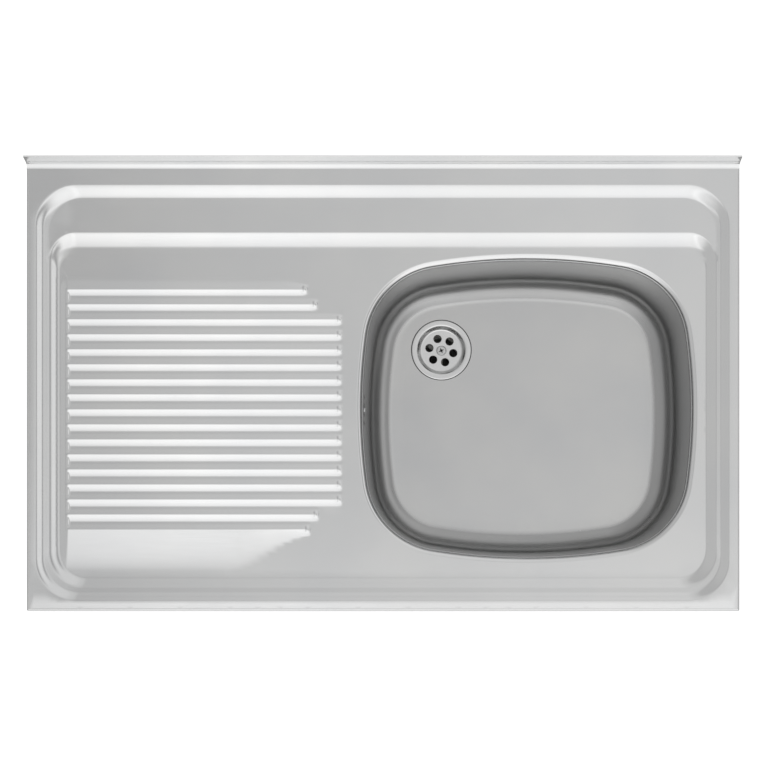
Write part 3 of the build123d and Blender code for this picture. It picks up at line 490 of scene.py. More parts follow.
def tray_ring(inset):
    """The deck's outer outline moved in, with the same stations at every inset."""
    points, facing = [], []
    corners = (
        (right_x, front_y, 1, -1, bend, -90),
        (right_x, rear_y, 1, 1, rear_corner, 0),
        (left_x, rear_y, -1, 1, rear_corner, 90),
        (left_x, front_y, -1, -1, bend, 180),
    )
    for number, (x, y, across, along, radius, start) in enumerate(corners):
        reach = max(radius, inset)
        left_over = max(radius - inset, 0)
        middle_x, middle_y = x - across * reach, y - along * reach
        for turn in along_arc(5, start, start + 90):
            heading_x, heading_y = math.cos(turn), math.sin(turn)
            points.append((middle_x + left_over * heading_x, middle_y + left_over * heading_y))
            facing.append((heading_x, heading_y))
        next_x, next_y, next_across, next_along, next_radius, _ = corners[(number + 1) % 4]
        next_reach = max(next_radius, inset)
        next_left_over = max(next_radius - inset, 0)
        turn = math.radians(start + 90)
        last = points[-1]
        first = (
            next_x - next_across * next_reach + next_left_over * math.cos(turn),
            next_y - next_along * next_reach + next_left_over * math.sin(turn),
        )
        steps = 28 if number % 2 else 18
        for step in range(1, steps):
            share = step / steps
            points.append((last[0] + (first[0] - last[0]) * share, last[1] + (first[1] - last[1]) * share))
            facing.append((math.cos(turn), math.sin(turn)))
    return np.array(points), np.array(facing)


def skirt_profile():
    """(inset, z, outward, upward) over the bend, down the skirt, round its fold and back up inside."""
    inner = bend - sheet
    half = sheet / 2
    profile = arc_profile(-bend, rim_z - bend, bend, 5, 90, 0)
    profile += arc_profile(-bend, bend, bend, 5, 0, -90)
    profile += arc_profile(half - fold_width, half, half, 6, 270, 90)
    profile += arc_profile(-bend, bend, inner, 5, -90, 0, -1)
    profile += arc_profile(-bend, rim_z - bend, inner, 5, 0, 90, -1)
    return [(-offset, z, outward, upward) for offset, z, outward, upward in profile]


def tray_strip(profile):
    points, normals = [], []
    for inset, z, outward, upward in profile:
        ring, facing = tray_ring(inset)
        fall = (front_fall(ring[:, 1] + crease_reach) + front_fall(ring[:, 1] - crease_reach)) / 2
        points.append(np.column_stack((ring, z - fall * min(z / (rim_z - bend), 1))))
        normals.append(np.column_stack((facing * outward, np.full(len(ring), upward))))
    faces = ring_faces(len(profile), len(ring))
    return turned_over((np.concatenate(points), np.concatenate(normals), faces))


def lip_profile():
    """Over the lip, down the collar to the weld, and back up behind it."""
    top = pan_z - lip_radius
    profile = arc_profile(lip_radius, top, lip_radius, 10, 90, 180)
    profile += [(0.0, seam_z, -1.0, 0.0), (sheet, seam_z, 1.0, 0.0)]
    return profile + arc_profile(lip_radius, top, lip_radius - sheet, 10, 180, 90, -1)


def upstand_profile():
    """(y, z, backward, upward) round the upstand's double fold: foot, face, hem, back and tucked edge."""
    lean = math.atan2(upstand_lean, upstand_height)
    lean_degrees = math.degrees(lean)
    foot_z = rim_z + upstand_foot
    foot_y = back_y + math.tan(lean) * upstand_foot - upstand_foot / math.cos(lean)
    hem_z = deck_high.z - sheet
    hem_y = back_y + math.tan(lean) * (hem_z - rim_z) + sheet / math.cos(lean)
    profile = arc_profile(foot_y, foot_z, upstand_foot, 12, -90, -lean_degrees, -1)
    profile += arc_profile(hem_y, hem_z, sheet, 10, 180 - lean_degrees, -lean_degrees)
    profile.append((back_y + 2 * sheet / math.cos(lean), rim_z, math.cos(lean), -math.sin(lean)))
    profile.append((rear_y, rim_z - tuck, 1.0, 0.0))
    profile.append((rear_y - sheet / 2, rim_z - tuck, 0.0, -1.0))
    profile.append((rear_y - bend + 0.2, rim_z - sunk, -0.7, -0.7))
    profile.append((foot_y, rim_z - sunk, -1.0, 0.0))
    return profile


def upstand_strip():
    """The upstand along the back, closed at its two cut ends."""
    profile = upstand_profile()
    columns = np.linspace(left_x + 0.05, right_x - 0.05, 25)
    points = [(x, y, z) for x in columns for y, z, _, _ in profile]
    normals = [(0, backward, upward) for _ in columns for _, _, backward, upward in profile]
    last = len(points) - len(profile)
    sides = turned_over((np.array(points), np.array(normals), ring_faces(len(columns), len(profile))))
    ends = [tuple(range(len(profile))), tuple(range(len(points) - 1, last - 1, -1))]
    return sides[0], sides[1], sides[2] + ends


def field_points():
    """Rows beside every ridge, close together at its crest, with columns close together at its two ends."""
    asides = [0.0, 0.35, 0.7, 1.1, 1.7, 2.6, 3.6, 4.7, 6.4, trough_pitch / 2]
    at_left = [-9.5, -7.8, -6.2, -5.0, -4.0, -3.0, -2.4, -1.9, -1.4, -1.0, -0.6, -0.2, 0.2, 0.6, 1.0]
    at_left += [1.5, 2.0, 2.5, 3.0, 3.4, 3.8, 4.4, 5.2, 7.0]
    at_right = [-3.0, -1.5, -0.7, -0.2, 0.2, 0.6, 1.0, 1.5, 2.0, 2.6, 3.2, 3.8, 4.5, 5.2, 6.0, 6.8]
    at_right += [7.7, 8.6, 10.0]
    both_ends = at_left[-1] + at_right[-1]
    points = []
    for number, (end, middle) in enumerate(ridge_ends()):
        columns = [field_left + along for along in at_left] + [end - along for along in at_right]
        stretch = end - field_left - both_ends
        steps = round(stretch / column_spacing)
        columns += [field_left + at_left[-1] + stretch * step / steps for step in range(1, steps)]
        rows = asides + [-aside for aside in asides[1:]]
        if number == 0:
            rows += [11.0, 13.5, 15.0]
        if number == trough_count:
            rows += [-10.5, -13.0, -16.0, -19.5, -23.0, -27.0, -31.0, -35.0, -39.0, -42.5, -45.5]
        points += [(x, middle + aside) for x in columns for aside in rows]
    return points


def ridge_rows(points):
    """Pairs of neighbouring points along the rows of every trough, as edges that the mesh keeps."""
    rows = {}
    for number, (x, y) in enumerate(points):
        if field_left - 4 < x < field_right + 4 and field_front - 0.01 < y < field_back + 0.01:
            rows.setdefault(round(y, 3), []).append((x, number))
    pairs = []
    for row in rows.values():
        row.sort()
        pairs += [(a[1], b[1]) for a, b in zip(row, row[1:]) if len(row) > 20 and b[0] - a[0] < 10]
    return pairs


# Where rows of points lie: inwards over the recess's steps, over the pan's as shares of its run, before the
# upstand and behind the front bend
recess_rows = (-1.4, -0.9, -0.4, 0.2, 0.8, 1.5, 2.2, 3.0, 3.8, 4.6, 5.4, 6.1, 6.8, 7.6, 8.8, 10.4, 12.0, 14.4)
pan_rows = (-0.4, -0.25, -0.12, -0.02, 0.06, 0.15, 0.27, 0.4, 0.55, 0.7, 0.85, 1.0, 1.12, 1.24, 1.36, 1.48)
upstand_rows = (13.8, 11.0, 8.5, 6.0, 4.0, 2.4, 1.5, 1.0, 0.7, 0.4, 0.1)
front_rows = (0.5, 1.0, 1.4, 1.9, 2.6, 4.0, 6.0)


def make_deck():
    """The pressed deck: rim, recess, tap ledge, ridged field, lip, skirts and their folds."""
    outer, _ = tray_ring(bend)
    outer = [tuple(point) for point in np.unique(np.round(outer, 4), axis=0)]
    centre_y = (front_y + rear_y) / 2
    depth, width = rear_y - front_y, right_x - left_x
    outer.sort(key=lambda point: math.atan2((point[1] - centre_y) / depth, point[0] / width))
    inner = [tuple(point) for point in bowl_ring(lip_radius)]
    creases = []
    for run in recess_rows:
        creases += box_ring(recess_box(run))
    for share in pan_rows:
        creases += box_ring(pan_box(share))
    columns = np.arange(left_x + 8, right_x - 4, ring_spacing)
    for y in upstand_rows:
        creases += [(x, back_y - y) for x in columns]
    for y in front_rows:
        creases += [(x, front_y + bend + y) for x in columns]
    lip = []
    for offset in (8.0, 9.5, 12.0):
        lip += [tuple(point) for point in bowl_ring(offset)]
    xs = np.arange(left_x + 8, right_x - 4, fill_spacing)
    ys = np.arange(front_y + 8, rear_y - 4, fill_spacing)
    fill = [(x, y) for x in xs for y in ys if not in_bowl(x, y, lip_radius + 3)]
    points = spread_out([outer + inner, field_points(), creases, lip, fill], (0.15, 0.25, 0.9, 5.0))
    loops = [list(range(len(outer))), list(range(len(outer), len(outer) + len(inner)))]
    flat, triangles = triangulated(points, loops, ridge_rows(points))
    hole = lambda x, y: in_bowl(x, y, lip_radius - 0.01)
    parts = two_sided(flat, triangles, deck_height, hole)
    parts += [tray_strip(skirt_profile()), bowl_strip(lip_profile()), upstand_strip()]
    return code_mesh("deck_pressing", parts)


deck_pressing = make_deck()


# ---------------------------------------------------------------- bowl


def wall_offset(z):
    return -(seam_z - z) * math.tan(bowl_draft)


def bowl_profile(skin, steps):
    """(offset, z, outward, upward) from the seam down the wall and through the floor's radius."""
    radius = bowl_floor_radius + skin
    turn = bowl_draft
    bottom = floor_z - skin
    centre_z = bottom + radius
    wall_foot = centre_z - radius * math.sin(turn)
    foot_offset = skin + wall_offset(wall_foot)
    centre_offset = foot_offset - radius * math.cos(turn)
    profile = []
    for step in range(steps):
        z = seam_z + (wall_foot - seam_z) * step / steps
        profile.append((skin + wall_offset(z), z, math.cos(turn), -math.sin(turn)))
    for angle in along_arc(14, -math.degrees(turn), -90):
        offset = centre_offset + radius * math.cos(angle)
        profile.append((offset, centre_z + radius * math.sin(angle), math.cos(angle), math.sin(angle)))
    return profile


def bowl_floor_height(x, y):
    """The floor, with the shallow seat pressed round the waste."""
    distance = waste_recess_radius - np.hypot(x - waste_x, y - waste_y)
    slope = waste_recess_depth / waste_recess_slope
    return floor_z - slope * (ramp(distance, 0.3) - ramp(distance - waste_recess_slope, 0.25))


def circle_points(radius, count):
    turns = [2 * math.pi * step / count for step in range(count)]
    return [(waste_x + radius * math.cos(turn), waste_y + radius * math.sin(turn)) for turn in turns]


def make_bowl():
    """The drawn bowl as a closed shell, with its waste hole and a weld bead at the seam."""
    inside = bowl_profile(0.0, 12)
    outside = bowl_profile(sheet, 12)
    bead_foot = seam_z - bead_height
    bead = [(0.0, seam_z, -1.0, 0.0), (-0.3, seam_z - 0.25, -0.8, 0.6)]
    bead += [(-bead_depth, seam_z - 0.7, -1.0, 0.0), (-0.3, seam_z - 1.15, -0.8, -0.6)]
    bead += [(wall_offset(bead_foot), bead_foot, -1.0, 0.05)]
    inner_profile = bead + [(o, z, -out, -up) for o, z, out, up in inside[1:]]
    edge = inside[-1][0]
    floor_loop = [tuple(point) for point in bowl_ring(edge)]
    rings = [floor_loop]
    hole_loop = circle_points(waste_hole_radius, 72)
    for radius in (33.0, 34.8, 35.2, 35.4, 35.6, 35.9, 36.2, 36.4, 36.6, 36.9, 37.6, 41.0, 48.0):
        rings.append(circle_points(radius, 72))
    near = [point for ring in rings[1:] for point in ring]
    xs = np.arange(bowl_x - bowl_half_x, bowl_x + bowl_half_x, fill_spacing)
    ys = np.arange(bowl_y - bowl_half_y, bowl_y + bowl_half_y, fill_spacing)
    fill = []
    for x in xs:
        for y in ys:
            if in_bowl(x, y, edge - 4) and math.dist((x, y), (waste_x, waste_y)) > 52:
                fill.append((x, y))
    points = spread_out([floor_loop + hole_loop, near, fill], (0.2, 6.0))
    count = len(floor_loop)
    loops = [list(range(count)), list(range(count, count + len(hole_loop)))]
    flat, triangles = triangulated(points, loops)
    from_waste = lambda x, y: np.hypot(x - waste_x, y - waste_y)
    hole = lambda x, y: (from_waste(x, y) < waste_hole_radius) | ~in_bowl(x, y, edge + 0.01)
    top, under = two_sided(flat, triangles, bowl_floor_height, hole)
    inner_strip = bowl_strip(inner_profile)
    outer_strip = turned_over(bowl_strip(outside))
    rim_edge = turned_over(bowl_strip([(0.0, seam_z, -1.0, 0.0), (sheet, seam_z, 1.0, 0.0)]))
    skirt = bowl_strip([(edge, floor_z - sheet, 0.0, -1.0), (outside[-1][0], floor_z - sheet, 0.0, -1.0)])
    hole_wall = []
    for z in (floor_z - waste_recess_depth, floor_z - waste_recess_depth - sheet):
        hole_wall += [(x, y, z) for x, y in hole_loop]
    inward = []
    for x, y in hole_loop:
        inward.append(((waste_x - x) / waste_hole_radius, (waste_y - y) / waste_hole_radius, 0))
    wall = (np.array(hole_wall), np.array(inward * 2), ring_faces(2, len(hole_loop)))
    parts = [top, under, inner_strip, outer_strip, rim_edge, skirt, wall]
    return code_mesh("bowl_drawing", parts, keep_normals=False)


# ---------------------------------------------------------------- finishes


def nodes_of(owner):
    """The emptied node tree of a material or a world."""
    owner.use_nodes = True
    owner.node_tree.nodes.clear()
    return owner.node_tree


def add(tree, kind, inputs=(), **settings):
    """A new node with its settings, and its inputs given as values or as sockets to link from."""
    made = tree.nodes.new("ShaderNode" + kind)
    for name, value in settings.items():
        setattr(made, name, value)
    for key, value in dict(inputs).items():
        if isinstance(value, bpy.types.NodeSocket):
            tree.links.new(value, made.inputs[key])
        else:
            made.inputs[key].default_value = value
    return made


def stepped(tree, value, start, stop, low, high):
    limits = {"Value": value, "From Min": start, "From Max": stop, "To Min": low, "To Max": high}
    return add(tree, "MapRange", limits, interpolation_type="SMOOTHSTEP").outputs[0]


def computed(tree, operation, first, second=0.0, third=0.0):
    return add(tree, "Math", {0: first, 1: second, 2: third}, operation=operation).outputs[0]


def summed(tree, first, second):
    return computed(tree, "ADD", first, second)


def blended(tree, factor, first, second):
    return add(tree, "Mix", {"Factor": factor, "A": first, "B": second}).outputs["Result"]


def ranged(tree, value, low, high, start=0.3, stop=0.7):
    limits = {"Value": value, "From Min": start, "From Max": stop, "To Min": low, "To Max": high}
    return add(tree, "MapRange", limits).outputs[0]


def noise(tree, at, scale, detail, roughness=0.5):
    inputs = {"Vector": at, "Scale": scale, "Detail": detail, "Roughness": roughness}
    return add(tree, "TexNoise", inputs).outputs


def stretched(tree, at, factors):
    return add(tree, "VectorMath", {0: at, 1: factors}, operation="MULTIPLY").outputs[0]


def new_group(name, inputs, outputs):
    """A node group with a Vector and further inputs as {label: value}, and values as outputs."""
    group = bpy.data.node_groups.new(name, "ShaderNodeTree")
    for label, value in {"Vector": (0, 0, 0), **inputs}.items():
        kind = "NodeSocketVector" if isinstance(value, tuple) else "NodeSocketFloat"
        socket = group.interface.new_socket(label, in_out="INPUT", socket_type=kind)
        socket.default_value = value
    for label in outputs:
        group.interface.new_socket(label, in_out="OUTPUT", socket_type="NodeSocketFloat")
    return group, group.nodes.new("NodeGroupInput").outputs, group.nodes.new("NodeGroupOutput").inputs


def satin_group():
    """Fine lines of a satin finish, and broad clouding where the sheet was drawn and handled."""
    inputs = {"Stretch": (25, 2500, 2500), "Cloud Scale": 9}
    group, given, result = new_group("satin_lines", inputs, ("Lines", "Cloud"))
    lines = noise(group, stretched(group, given["Vector"], given["Stretch"]), 1.0, 3.0, 0.6)
    cloud = noise(group, given["Vector"], given["Cloud Scale"], 4.0)
    group.links.new(lines["Fac"], result["Lines"])
    group.links.new(cloud["Fac"], result["Cloud"])
    return group


def handled_group():
    """Marks of use: sparse fine scratches and soft wiped patches."""
    inputs = {"Patch Scale": 22, "Scratch Scale": 60}
    group, given, result = new_group("handled_marks", inputs, ("Scratches", "Patches"))
    sway = stretched(group, noise(group, given["Vector"], 14.0, 2.0)["Color"], (0.06, 0.06, 0.06))
    swayed = add(group, "VectorMath", {0: given["Vector"], 1: sway}, operation="ADD").outputs[0]
    cells_at = {"Vector": swayed, "Scale": given["Scratch Scale"]}
    cells = add(group, "TexVoronoi", cells_at, feature="DISTANCE_TO_EDGE")
    scratches = ranged(group, cells.outputs["Distance"], 1.0, 0.0, 0.0, 0.012)
    wiped = noise(group, given["Vector"], given["Patch Scale"], 5.0)
    patches = stepped(group, wiped["Fac"], 0.42, 0.62, 0.0, 1.0)
    group.links.new(computed(group, "MULTIPLY", scratches, patches), result["Scratches"])
    group.links.new(patches, result["Patches"])
    return group


def moulded_group():
    """A moulded skin: the fine grain of its mould and slow swells in its tint."""
    inputs = {"Grain Scale": 1400, "Tint Scale": 18}
    group, given, result = new_group("moulded_skin", inputs, ("Grain", "Tint"))
    for label, detail in (("Grain", 2.0), ("Tint", 3.0)):
        swells = noise(group, given["Vector"], given[label + " Scale"], detail)
        group.links.new(swells["Fac"], result[label])
    return group


def wood_group():
    """Planed softwood: growth rings sawn along the grain, and the fibres between them."""
    group, given, result = new_group("wood_grain", {"Fibre": (1, 1, 1)}, ("Rings", "Fibres"))
    along = stretched(group, given["Vector"], given["Fibre"])
    wavy = {"Vector": along, "Scale": 1.0, "Distortion": 3.5, "Detail": 3.0, "Detail Scale": 1.2}
    rings = add(group, "TexWave", wavy, wave_type="RINGS", rings_direction="SPHERICAL")
    group.links.new(rings.outputs["Fac"], result["Rings"])
    group.links.new(noise(group, along, 14.0, 6.0, 0.7)["Fac"], result["Fibres"])
    return group


groups = {
    "satin": satin_group(),
    "handled": handled_group(),
    "moulded": moulded_group(),
    "wood": wood_group(),
}


def grouped(tree, name, inputs):
    return add(tree, "Group", inputs, node_tree=groups[name])


def started(name):
    """A material with its empty node tree and its object coordinates."""
    material = bpy.data.materials.new(name)
    tree = nodes_of(material)
    return material, tree, add(tree, "TexCoord").outputs["Object"]


def between(tree, factor, low, high):
    """A colour between two, by a mask; each is red, green and blue, or a socket."""
    ends = {"Factor": factor}
    for side, colour in (("A", low), ("B", high)):
        ends[side] = colour if isinstance(colour, bpy.types.NodeSocket) else (*colour, 1)
    return add(tree, "Mix", ends, data_type="RGBA").outputs["Result"]


def finish_shader(tree, inputs, height, strength, depth):
    """A Principled shader with a bump of depth millimetres, and the material's output."""
    bump = add(tree, "Bump", {"Height": height, "Strength": strength, "Distance": depth * MM})
    inputs["Normal"] = bump.outputs[0]
    shader = add(tree, "BsdfPrincipled", inputs)
    add(tree, "OutputMaterial", {"Surface": shader.outputs[0]})


floor_lean = 0.955  # squared cosine of the lean beyond which a face counts as wall


def satin_steel(name, dark, light, roughness, stretch, depth=0.006, walls=None, wall_painted_shade=1.0):
    """Satin stainless steel; walls gives the way of its lines on steep faces, and a factor below 1 darkens
    the colour of those faces as painted shade.
    """
    material, tree, at = started(name)
    satin = grouped(tree, "satin", {"Vector": at, "Stretch": stretch, "Cloud Scale": 9.0})
    lines = satin.outputs["Lines"]
    colour = between(tree, ranged(tree, satin.outputs["Cloud"], 0, 1), dark, light)
    if walls:
        steep_satin = grouped(tree, "satin", {"Vector": at, "Stretch": walls, "Cloud Scale": 14.0})
        facing = add(tree, "SeparateXYZ", {0: add(tree, "NewGeometry").outputs["Normal"]}).outputs["Z"]
        flat = ranged(tree, computed(tree, "MULTIPLY", facing, facing), 0, 1, floor_lean, 1.0)
        lines = blended(tree, flat, steep_satin.outputs["Lines"], lines)
        # Steep faces take the same colours darkened by a factor: painted shade on the walls.
        wall_dark, wall_light = ([channel * wall_painted_shade for channel in tint] for tint in (dark, light))
        painted_shade_wall_colour = between(tree, steep_satin.outputs["Cloud"], wall_dark, wall_light)
        colour = between(tree, flat, painted_shade_wall_colour, colour)
    marks = grouped(tree, "handled", {"Vector": at, "Patch Scale": 16.0, "Scratch Scale": 45.0})
    rough = ranged(tree, lines, roughness - 0.03, roughness + 0.05)
    rough = summed(tree, rough, ranged(tree, marks.outputs["Patches"], 0, 0.02, 0, 1))
    rough = summed(tree, rough, ranged(tree, marks.outputs["Scratches"], 0, 0.05, 0, 1))
    strength = 0.35
    if walls:
        rough = summed(tree, rough, ranged(tree, flat, 0.12, 0, 0, 1))
        strength = ranged(tree, flat, 0.1, 0.35, 0, 1)
    inputs = {"Base Color": colour, "Metallic": 1.0, "Roughness": rough}
    finish_shader(tree, inputs, lines, strength, depth)
    return material


def plastic(name, dark, light, roughness, grain, depth, coat=0.0):
    material, tree, at = started(name)
    skin = grouped(tree, "moulded", {"Vector": at, "Grain Scale": grain, "Tint Scale": 18.0})
    marks = grouped(tree, "handled", {"Vector": at, "Patch Scale": 35.0, "Scratch Scale": 90.0})
    colour = between(tree, ranged(tree, skin.outputs["Tint"], 0, 1), dark, light)
    rough = ranged(tree, marks.outputs["Patches"], roughness, roughness + 0.08, 0, 1)
    rough = summed(tree, rough, ranged(tree, marks.outputs["Scratches"], 0, 0.12, 0, 1))
    inputs = {"Base Color": colour, "Roughness": rough, "Coat Weight": coat}
    finish_shader(tree, inputs, skin.outputs["Grain"], 0.3, depth)
    return material


def plated(name, dark, light, roughness, grain):
    """Turned brass or plated steel, a little tarnished in patches."""
    material, tree, at = started(name)
    skin = grouped(tree, "moulded", {"Vector": at, "Grain Scale": grain, "Tint Scale": 90.0})
    marks = grouped(tree, "handled", {"Vector": at, "Patch Scale": 120.0, "Scratch Scale": 200.0})
    colour = between(tree, ranged(tree, skin.outputs["Tint"], 0, 1), dark, light)
    rough = ranged(tree, marks.outputs["Patches"], roughness, roughness + 0.15, 0, 1)
    inputs = {"Base Color": colour, "Metallic": 1.0, "Roughness": rough}
    finish_shader(tree, inputs, skin.outputs["Grain"], 0.3, 0.01)
    return material


def softwood(name, fibre):
    material, tree, at = started(name)
    grain = grouped(tree, "wood", {"Vector": at, "Fibre": fibre})
    ring_colour = between(tree, grain.outputs["Rings"], (0.62, 0.42, 0.22), (0.36, 0.2, 0.09))
    fibres = ranged(tree, grain.outputs["Fibres"], 0.0, 0.55)
    colour = between(tree, fibres, ring_colour, (0.7, 0.52, 0.31))
    height = summed(tree, grain.outputs["Rings"], grain.outputs["Fibres"])
    rough = ranged(tree, grain.outputs["Fibres"], 0.55, 0.75)
    finish_shader(tree, {"Base Color": colour, "Roughness": rough}, height, 0.4, 0.15)
    return material


along_x = (25.0, 2500.0, 2500.0)  # noise stretched into lines along the width
around = (25.0, 25.0, 2500.0)  # and into lines round the walls
recipes = {
    satin_steel: [
        ("deck_steel", (0.76, 0.765, 0.77), (0.8, 0.8, 0.795), 0.15, along_x),
        # The bowl's last value darkens the colour of its steep walls: painted shade.
        ("bowl_steel", (0.64, 0.645, 0.65), (0.69, 0.688, 0.68), 0.17, along_x, 0.006, around, 0.66),
        ("strainer_steel", (0.78, 0.785, 0.79), (0.84, 0.84, 0.835), 0.16, (900.0,) * 3, 0.01),
    ],
    plated: [
        ("screw_steel", (0.62, 0.625, 0.63), (0.72, 0.72, 0.715), 0.25, 1500.0),
        # Near-black finish for the screws' cross recesses: painted shade, not the steel's own colour.
        ("screw_recess", (0.03, 0.03, 0.03), (0.09, 0.088, 0.085), 0.45, 1500.0),
        ("bracket_screw_steel", (0.66, 0.6, 0.42), (0.76, 0.72, 0.6), 0.28, 1500.0),
        ("coated_steel", (0.5, 0.51, 0.52), (0.62, 0.63, 0.64), 0.38, 260.0),
        ("insert_brass", (0.66, 0.47, 0.2), (0.82, 0.63, 0.32), 0.25, 1500.0),
    ],
    plastic: [
        ("white_plastic", (0.74, 0.74, 0.71), (0.8, 0.8, 0.78), 0.38, 1400.0, 0.02),
        ("nut_plastic", (0.66, 0.66, 0.63), (0.72, 0.72, 0.7), 0.42, 1200.0, 0.02),
        ("hose_plastic", (0.6, 0.61, 0.61), (0.67, 0.68, 0.68), 0.3, 900.0, 0.01, 0.3),
        ("bracket_plastic", (0.018, 0.018, 0.02), (0.03, 0.03, 0.033), 0.45, 1100.0, 0.04),
        ("gasket_rubber", (0.012, 0.012, 0.012), (0.022, 0.022, 0.022), 0.62, 1600.0, 0.03),
        ("pad_rubber", (0.035, 0.035, 0.038), (0.055, 0.055, 0.06), 0.7, 420.0, 0.15),
    ],
    softwood: [("batten_wood", (38.0, 1.6, 38.0)), ("batten_wood_across", (1.6, 38.0, 38.0))],
}
finishes = {row[0]: maker(*row) for maker, rows in recipes.items() for row in rows}


# ---------------------------------------------------------------- modelling by operators


def pick_only(piece):
    """Deselects everything but the piece."""
    bpy.ops.object.select_all(action="DESELECT")
    piece.select_set(True)
    bpy.context.view_layer.objects.active = piece


slots = {part["node"]: part["material_slot"] for part in frame["record"]["subparts"]}


def place(piece, name, node, body, finish=None):
    """Gives a finished piece its name, its body and its finish, and hides the CAD node that it stands in for.
    """
    piece.name = name
    piece.data.name = name
    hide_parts(node)
    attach(piece, body)
    if len(piece.data.materials) < 2:
        piece.data.materials.clear()
        piece.data.materials.append(finishes[finish or slots[node]])


def turned(profile, sides, centre=(0, 0)):
    """A piece turned about an upright axis: a circle extruded and resized along (radius, height) points."""
    x, y = centre[0] * MM, centre[1] * MM
    radius, height = profile[0]
    bpy.ops.object.select_all(action="DESELECT")
    bpy.ops.mesh.primitive_circle_add(vertices=sides, radius=radius * MM, location=(x, y, height * MM))
    piece = bpy.context.object
    bpy.ops.object.transform_apply(location=True, rotation=True, scale=True)
    bpy.ops.object.mode_set(mode="EDIT")
    bpy.ops.mesh.select_all(action="SELECT")
    for (radius, height), (next_radius, next_height) in zip(profile, profile[1:]):
        rise = (0, 0, (next_height - height) * MM)
        share = next_radius / radius
        bpy.ops.mesh.extrude_region_move(TRANSFORM_OT_translate={"value": rise})
        bpy.ops.transform.resize(value=(share, share, 1), center_override=(x, y, next_height * MM))
    bpy.ops.mesh.select_all(action="SELECT")
    bpy.ops.mesh.remove_doubles(threshold=1e-6)
    bpy.ops.mesh.normals_make_consistent(inside=False)
    bpy.ops.object.mode_set(mode="OBJECT")
    return piece


blade_foot, blade_top = 0.3, 1.7  # lengths of a blade's ends, as shares of its reach


def blade(reach, thickness, depth, turn):
    """A tapered blade that cuts one arm pair of a cross recess, depth below 0."""
    bpy.ops.object.select_all(action="DESELECT")
    tip, top = blade_foot * reach * MM, blade_top * reach * MM
    bpy.ops.mesh.primitive_cone_add(vertices=4, radius1=tip, radius2=top, depth=2 * depth * MM)
    made = bpy.context.object
    made.scale = (1, thickness / reach, 1)
    made.rotation_euler = (0, 0, math.radians(turn))
    bpy.ops.object.transform_apply(location=True, rotation=True, scale=True)
    return made


def cut(piece, cutters):
    """Cuts each cutter out of the piece."""
    for cutter in cutters:
        pick_only(piece)
        modifier = piece.modifiers.new("cut", "BOOLEAN")
        modifier.operation = "DIFFERENCE"
        modifier.solver = "EXACT"
        modifier.object = cutter
        bpy.ops.object.modifier_apply(modifier=modifier.name)
        bpy.data.objects.remove(cutter)


def eased(piece, width, angle=40.0, steps=2):
    """Rounds the piece's sharp edges and weights its shading by face."""
    pick_only(piece)
    if width > 0:
        bevel = piece.modifiers.new("eased", "BEVEL")
        bevel.width = width * MM
        bevel.segments = steps
        bevel.limit_method = "ANGLE"
        bevel.angle_limit = math.radians(angle)
        bevel.use_clamp_overlap = False
        bpy.ops.object.modifier_apply(modifier=bevel.name)
    bpy.ops.object.shade_smooth_by_angle(angle=math.radians(38))
    weighted = piece.modifiers.new("weighted", "WEIGHTED_NORMAL")
    weighted.keep_sharp = True
    bpy.ops.object.modifier_apply(modifier=weighted.name)


def refined(node, width, angle=40.0):
    """A copy of a CAD node with its flats joined up and its edges eased."""
    mesh = frame["nodes"][node].data.copy()
    piece = bpy.data.objects.new(node, mesh)
    bpy.context.scene.collection.objects.link(piece)
    pick_only(piece)
    bpy.ops.mesh.customdata_custom_splitnormals_clear()
    bpy.ops.object.mode_set(mode="EDIT")
    bpy.ops.mesh.select_all(action="SELECT")
    bpy.ops.mesh.remove_doubles(threshold=2e-6)
    bpy.ops.mesh.dissolve_limited(angle_limit=math.radians(0.4))
    bpy.ops.object.mode_set(mode="OBJECT")
    eased(piece, width, angle)
    return piece


# ---------------------------------------------------------------- overflow holes, waste and screws

overflow_tilt = bowl_draft
overflow_out = Vector((-math.cos(overflow_tilt), 0, -math.sin(overflow_tilt)))
overflow_across = Vector((0, -1, 0))
overflow_up = overflow_out.cross(overflow_across)
overflow_x = bowl_x - bowl_half_x - wall_offset(overflow_z)
overflow_centre = Vector((overflow_x, bowl_y, overflow_z))
overflow_pitch, overflow_hole_radius, overflow_screw_hole = 10.0, 3.0, 2.8
drill_reach = 3.0  # how far the drills stand out on both sides of the wall
axis_radius = 0.001  # of the smallest ring round an axis, instead of a point
overflow_columns, overflow_rows = 4, 2


def wall_frame(centre, out):
    """A matrix that stands an upright piece at centre with its Z along out, in metres."""
    axes = (overflow_across, out.cross(overflow_across), out, [value * MM for value in centre])
    rows = [[axis[row] for axis in axes] for row in range(3)]
    return Matrix(rows + [[0, 0, 0, 1]])


def drill_profile(radius, low, high):
    return [(axis_radius, low), (radius, low), (radius, high), (axis_radius, high)]


def overflow_cutters():
    """Drills for the overflow's rows of holes and for its screw."""
    places = [(0.0, 0.0, overflow_screw_hole)]
    for column in range(overflow_columns):
        for row in range(overflow_rows):
            across = (column - (overflow_columns - 1) / 2) * overflow_pitch
            up = (row - (overflow_rows - 1) / 2) * overflow_pitch
            places.append((across, up, overflow_hole_radius))
    drills = []
    for across, up, radius in places:
        drill = turned(drill_profile(radius, -drill_reach, drill_reach), 32)
        centre = overflow_centre + overflow_across * across + overflow_up * up
        drill.data.transform(wall_frame(centre, overflow_out))
        drills.append(drill)
    return drills


place(deck_pressing, "deck_pressing", "deck", "sink_body")
bowl_drawing = make_bowl()
cut(bowl_drawing, overflow_cutters())
eased(bowl_drawing, 0)
place(bowl_drawing, "bowl_drawing", "bowl", "sink_body")


strainer_hole_count, strainer_hole_radius = 6, 4.9
strainer_hole_ring, strainer_hole_start = 14.6, 48  # radius of their circle, and degrees of the first
drill_foot, drill_top = 9, 4  # below the floor


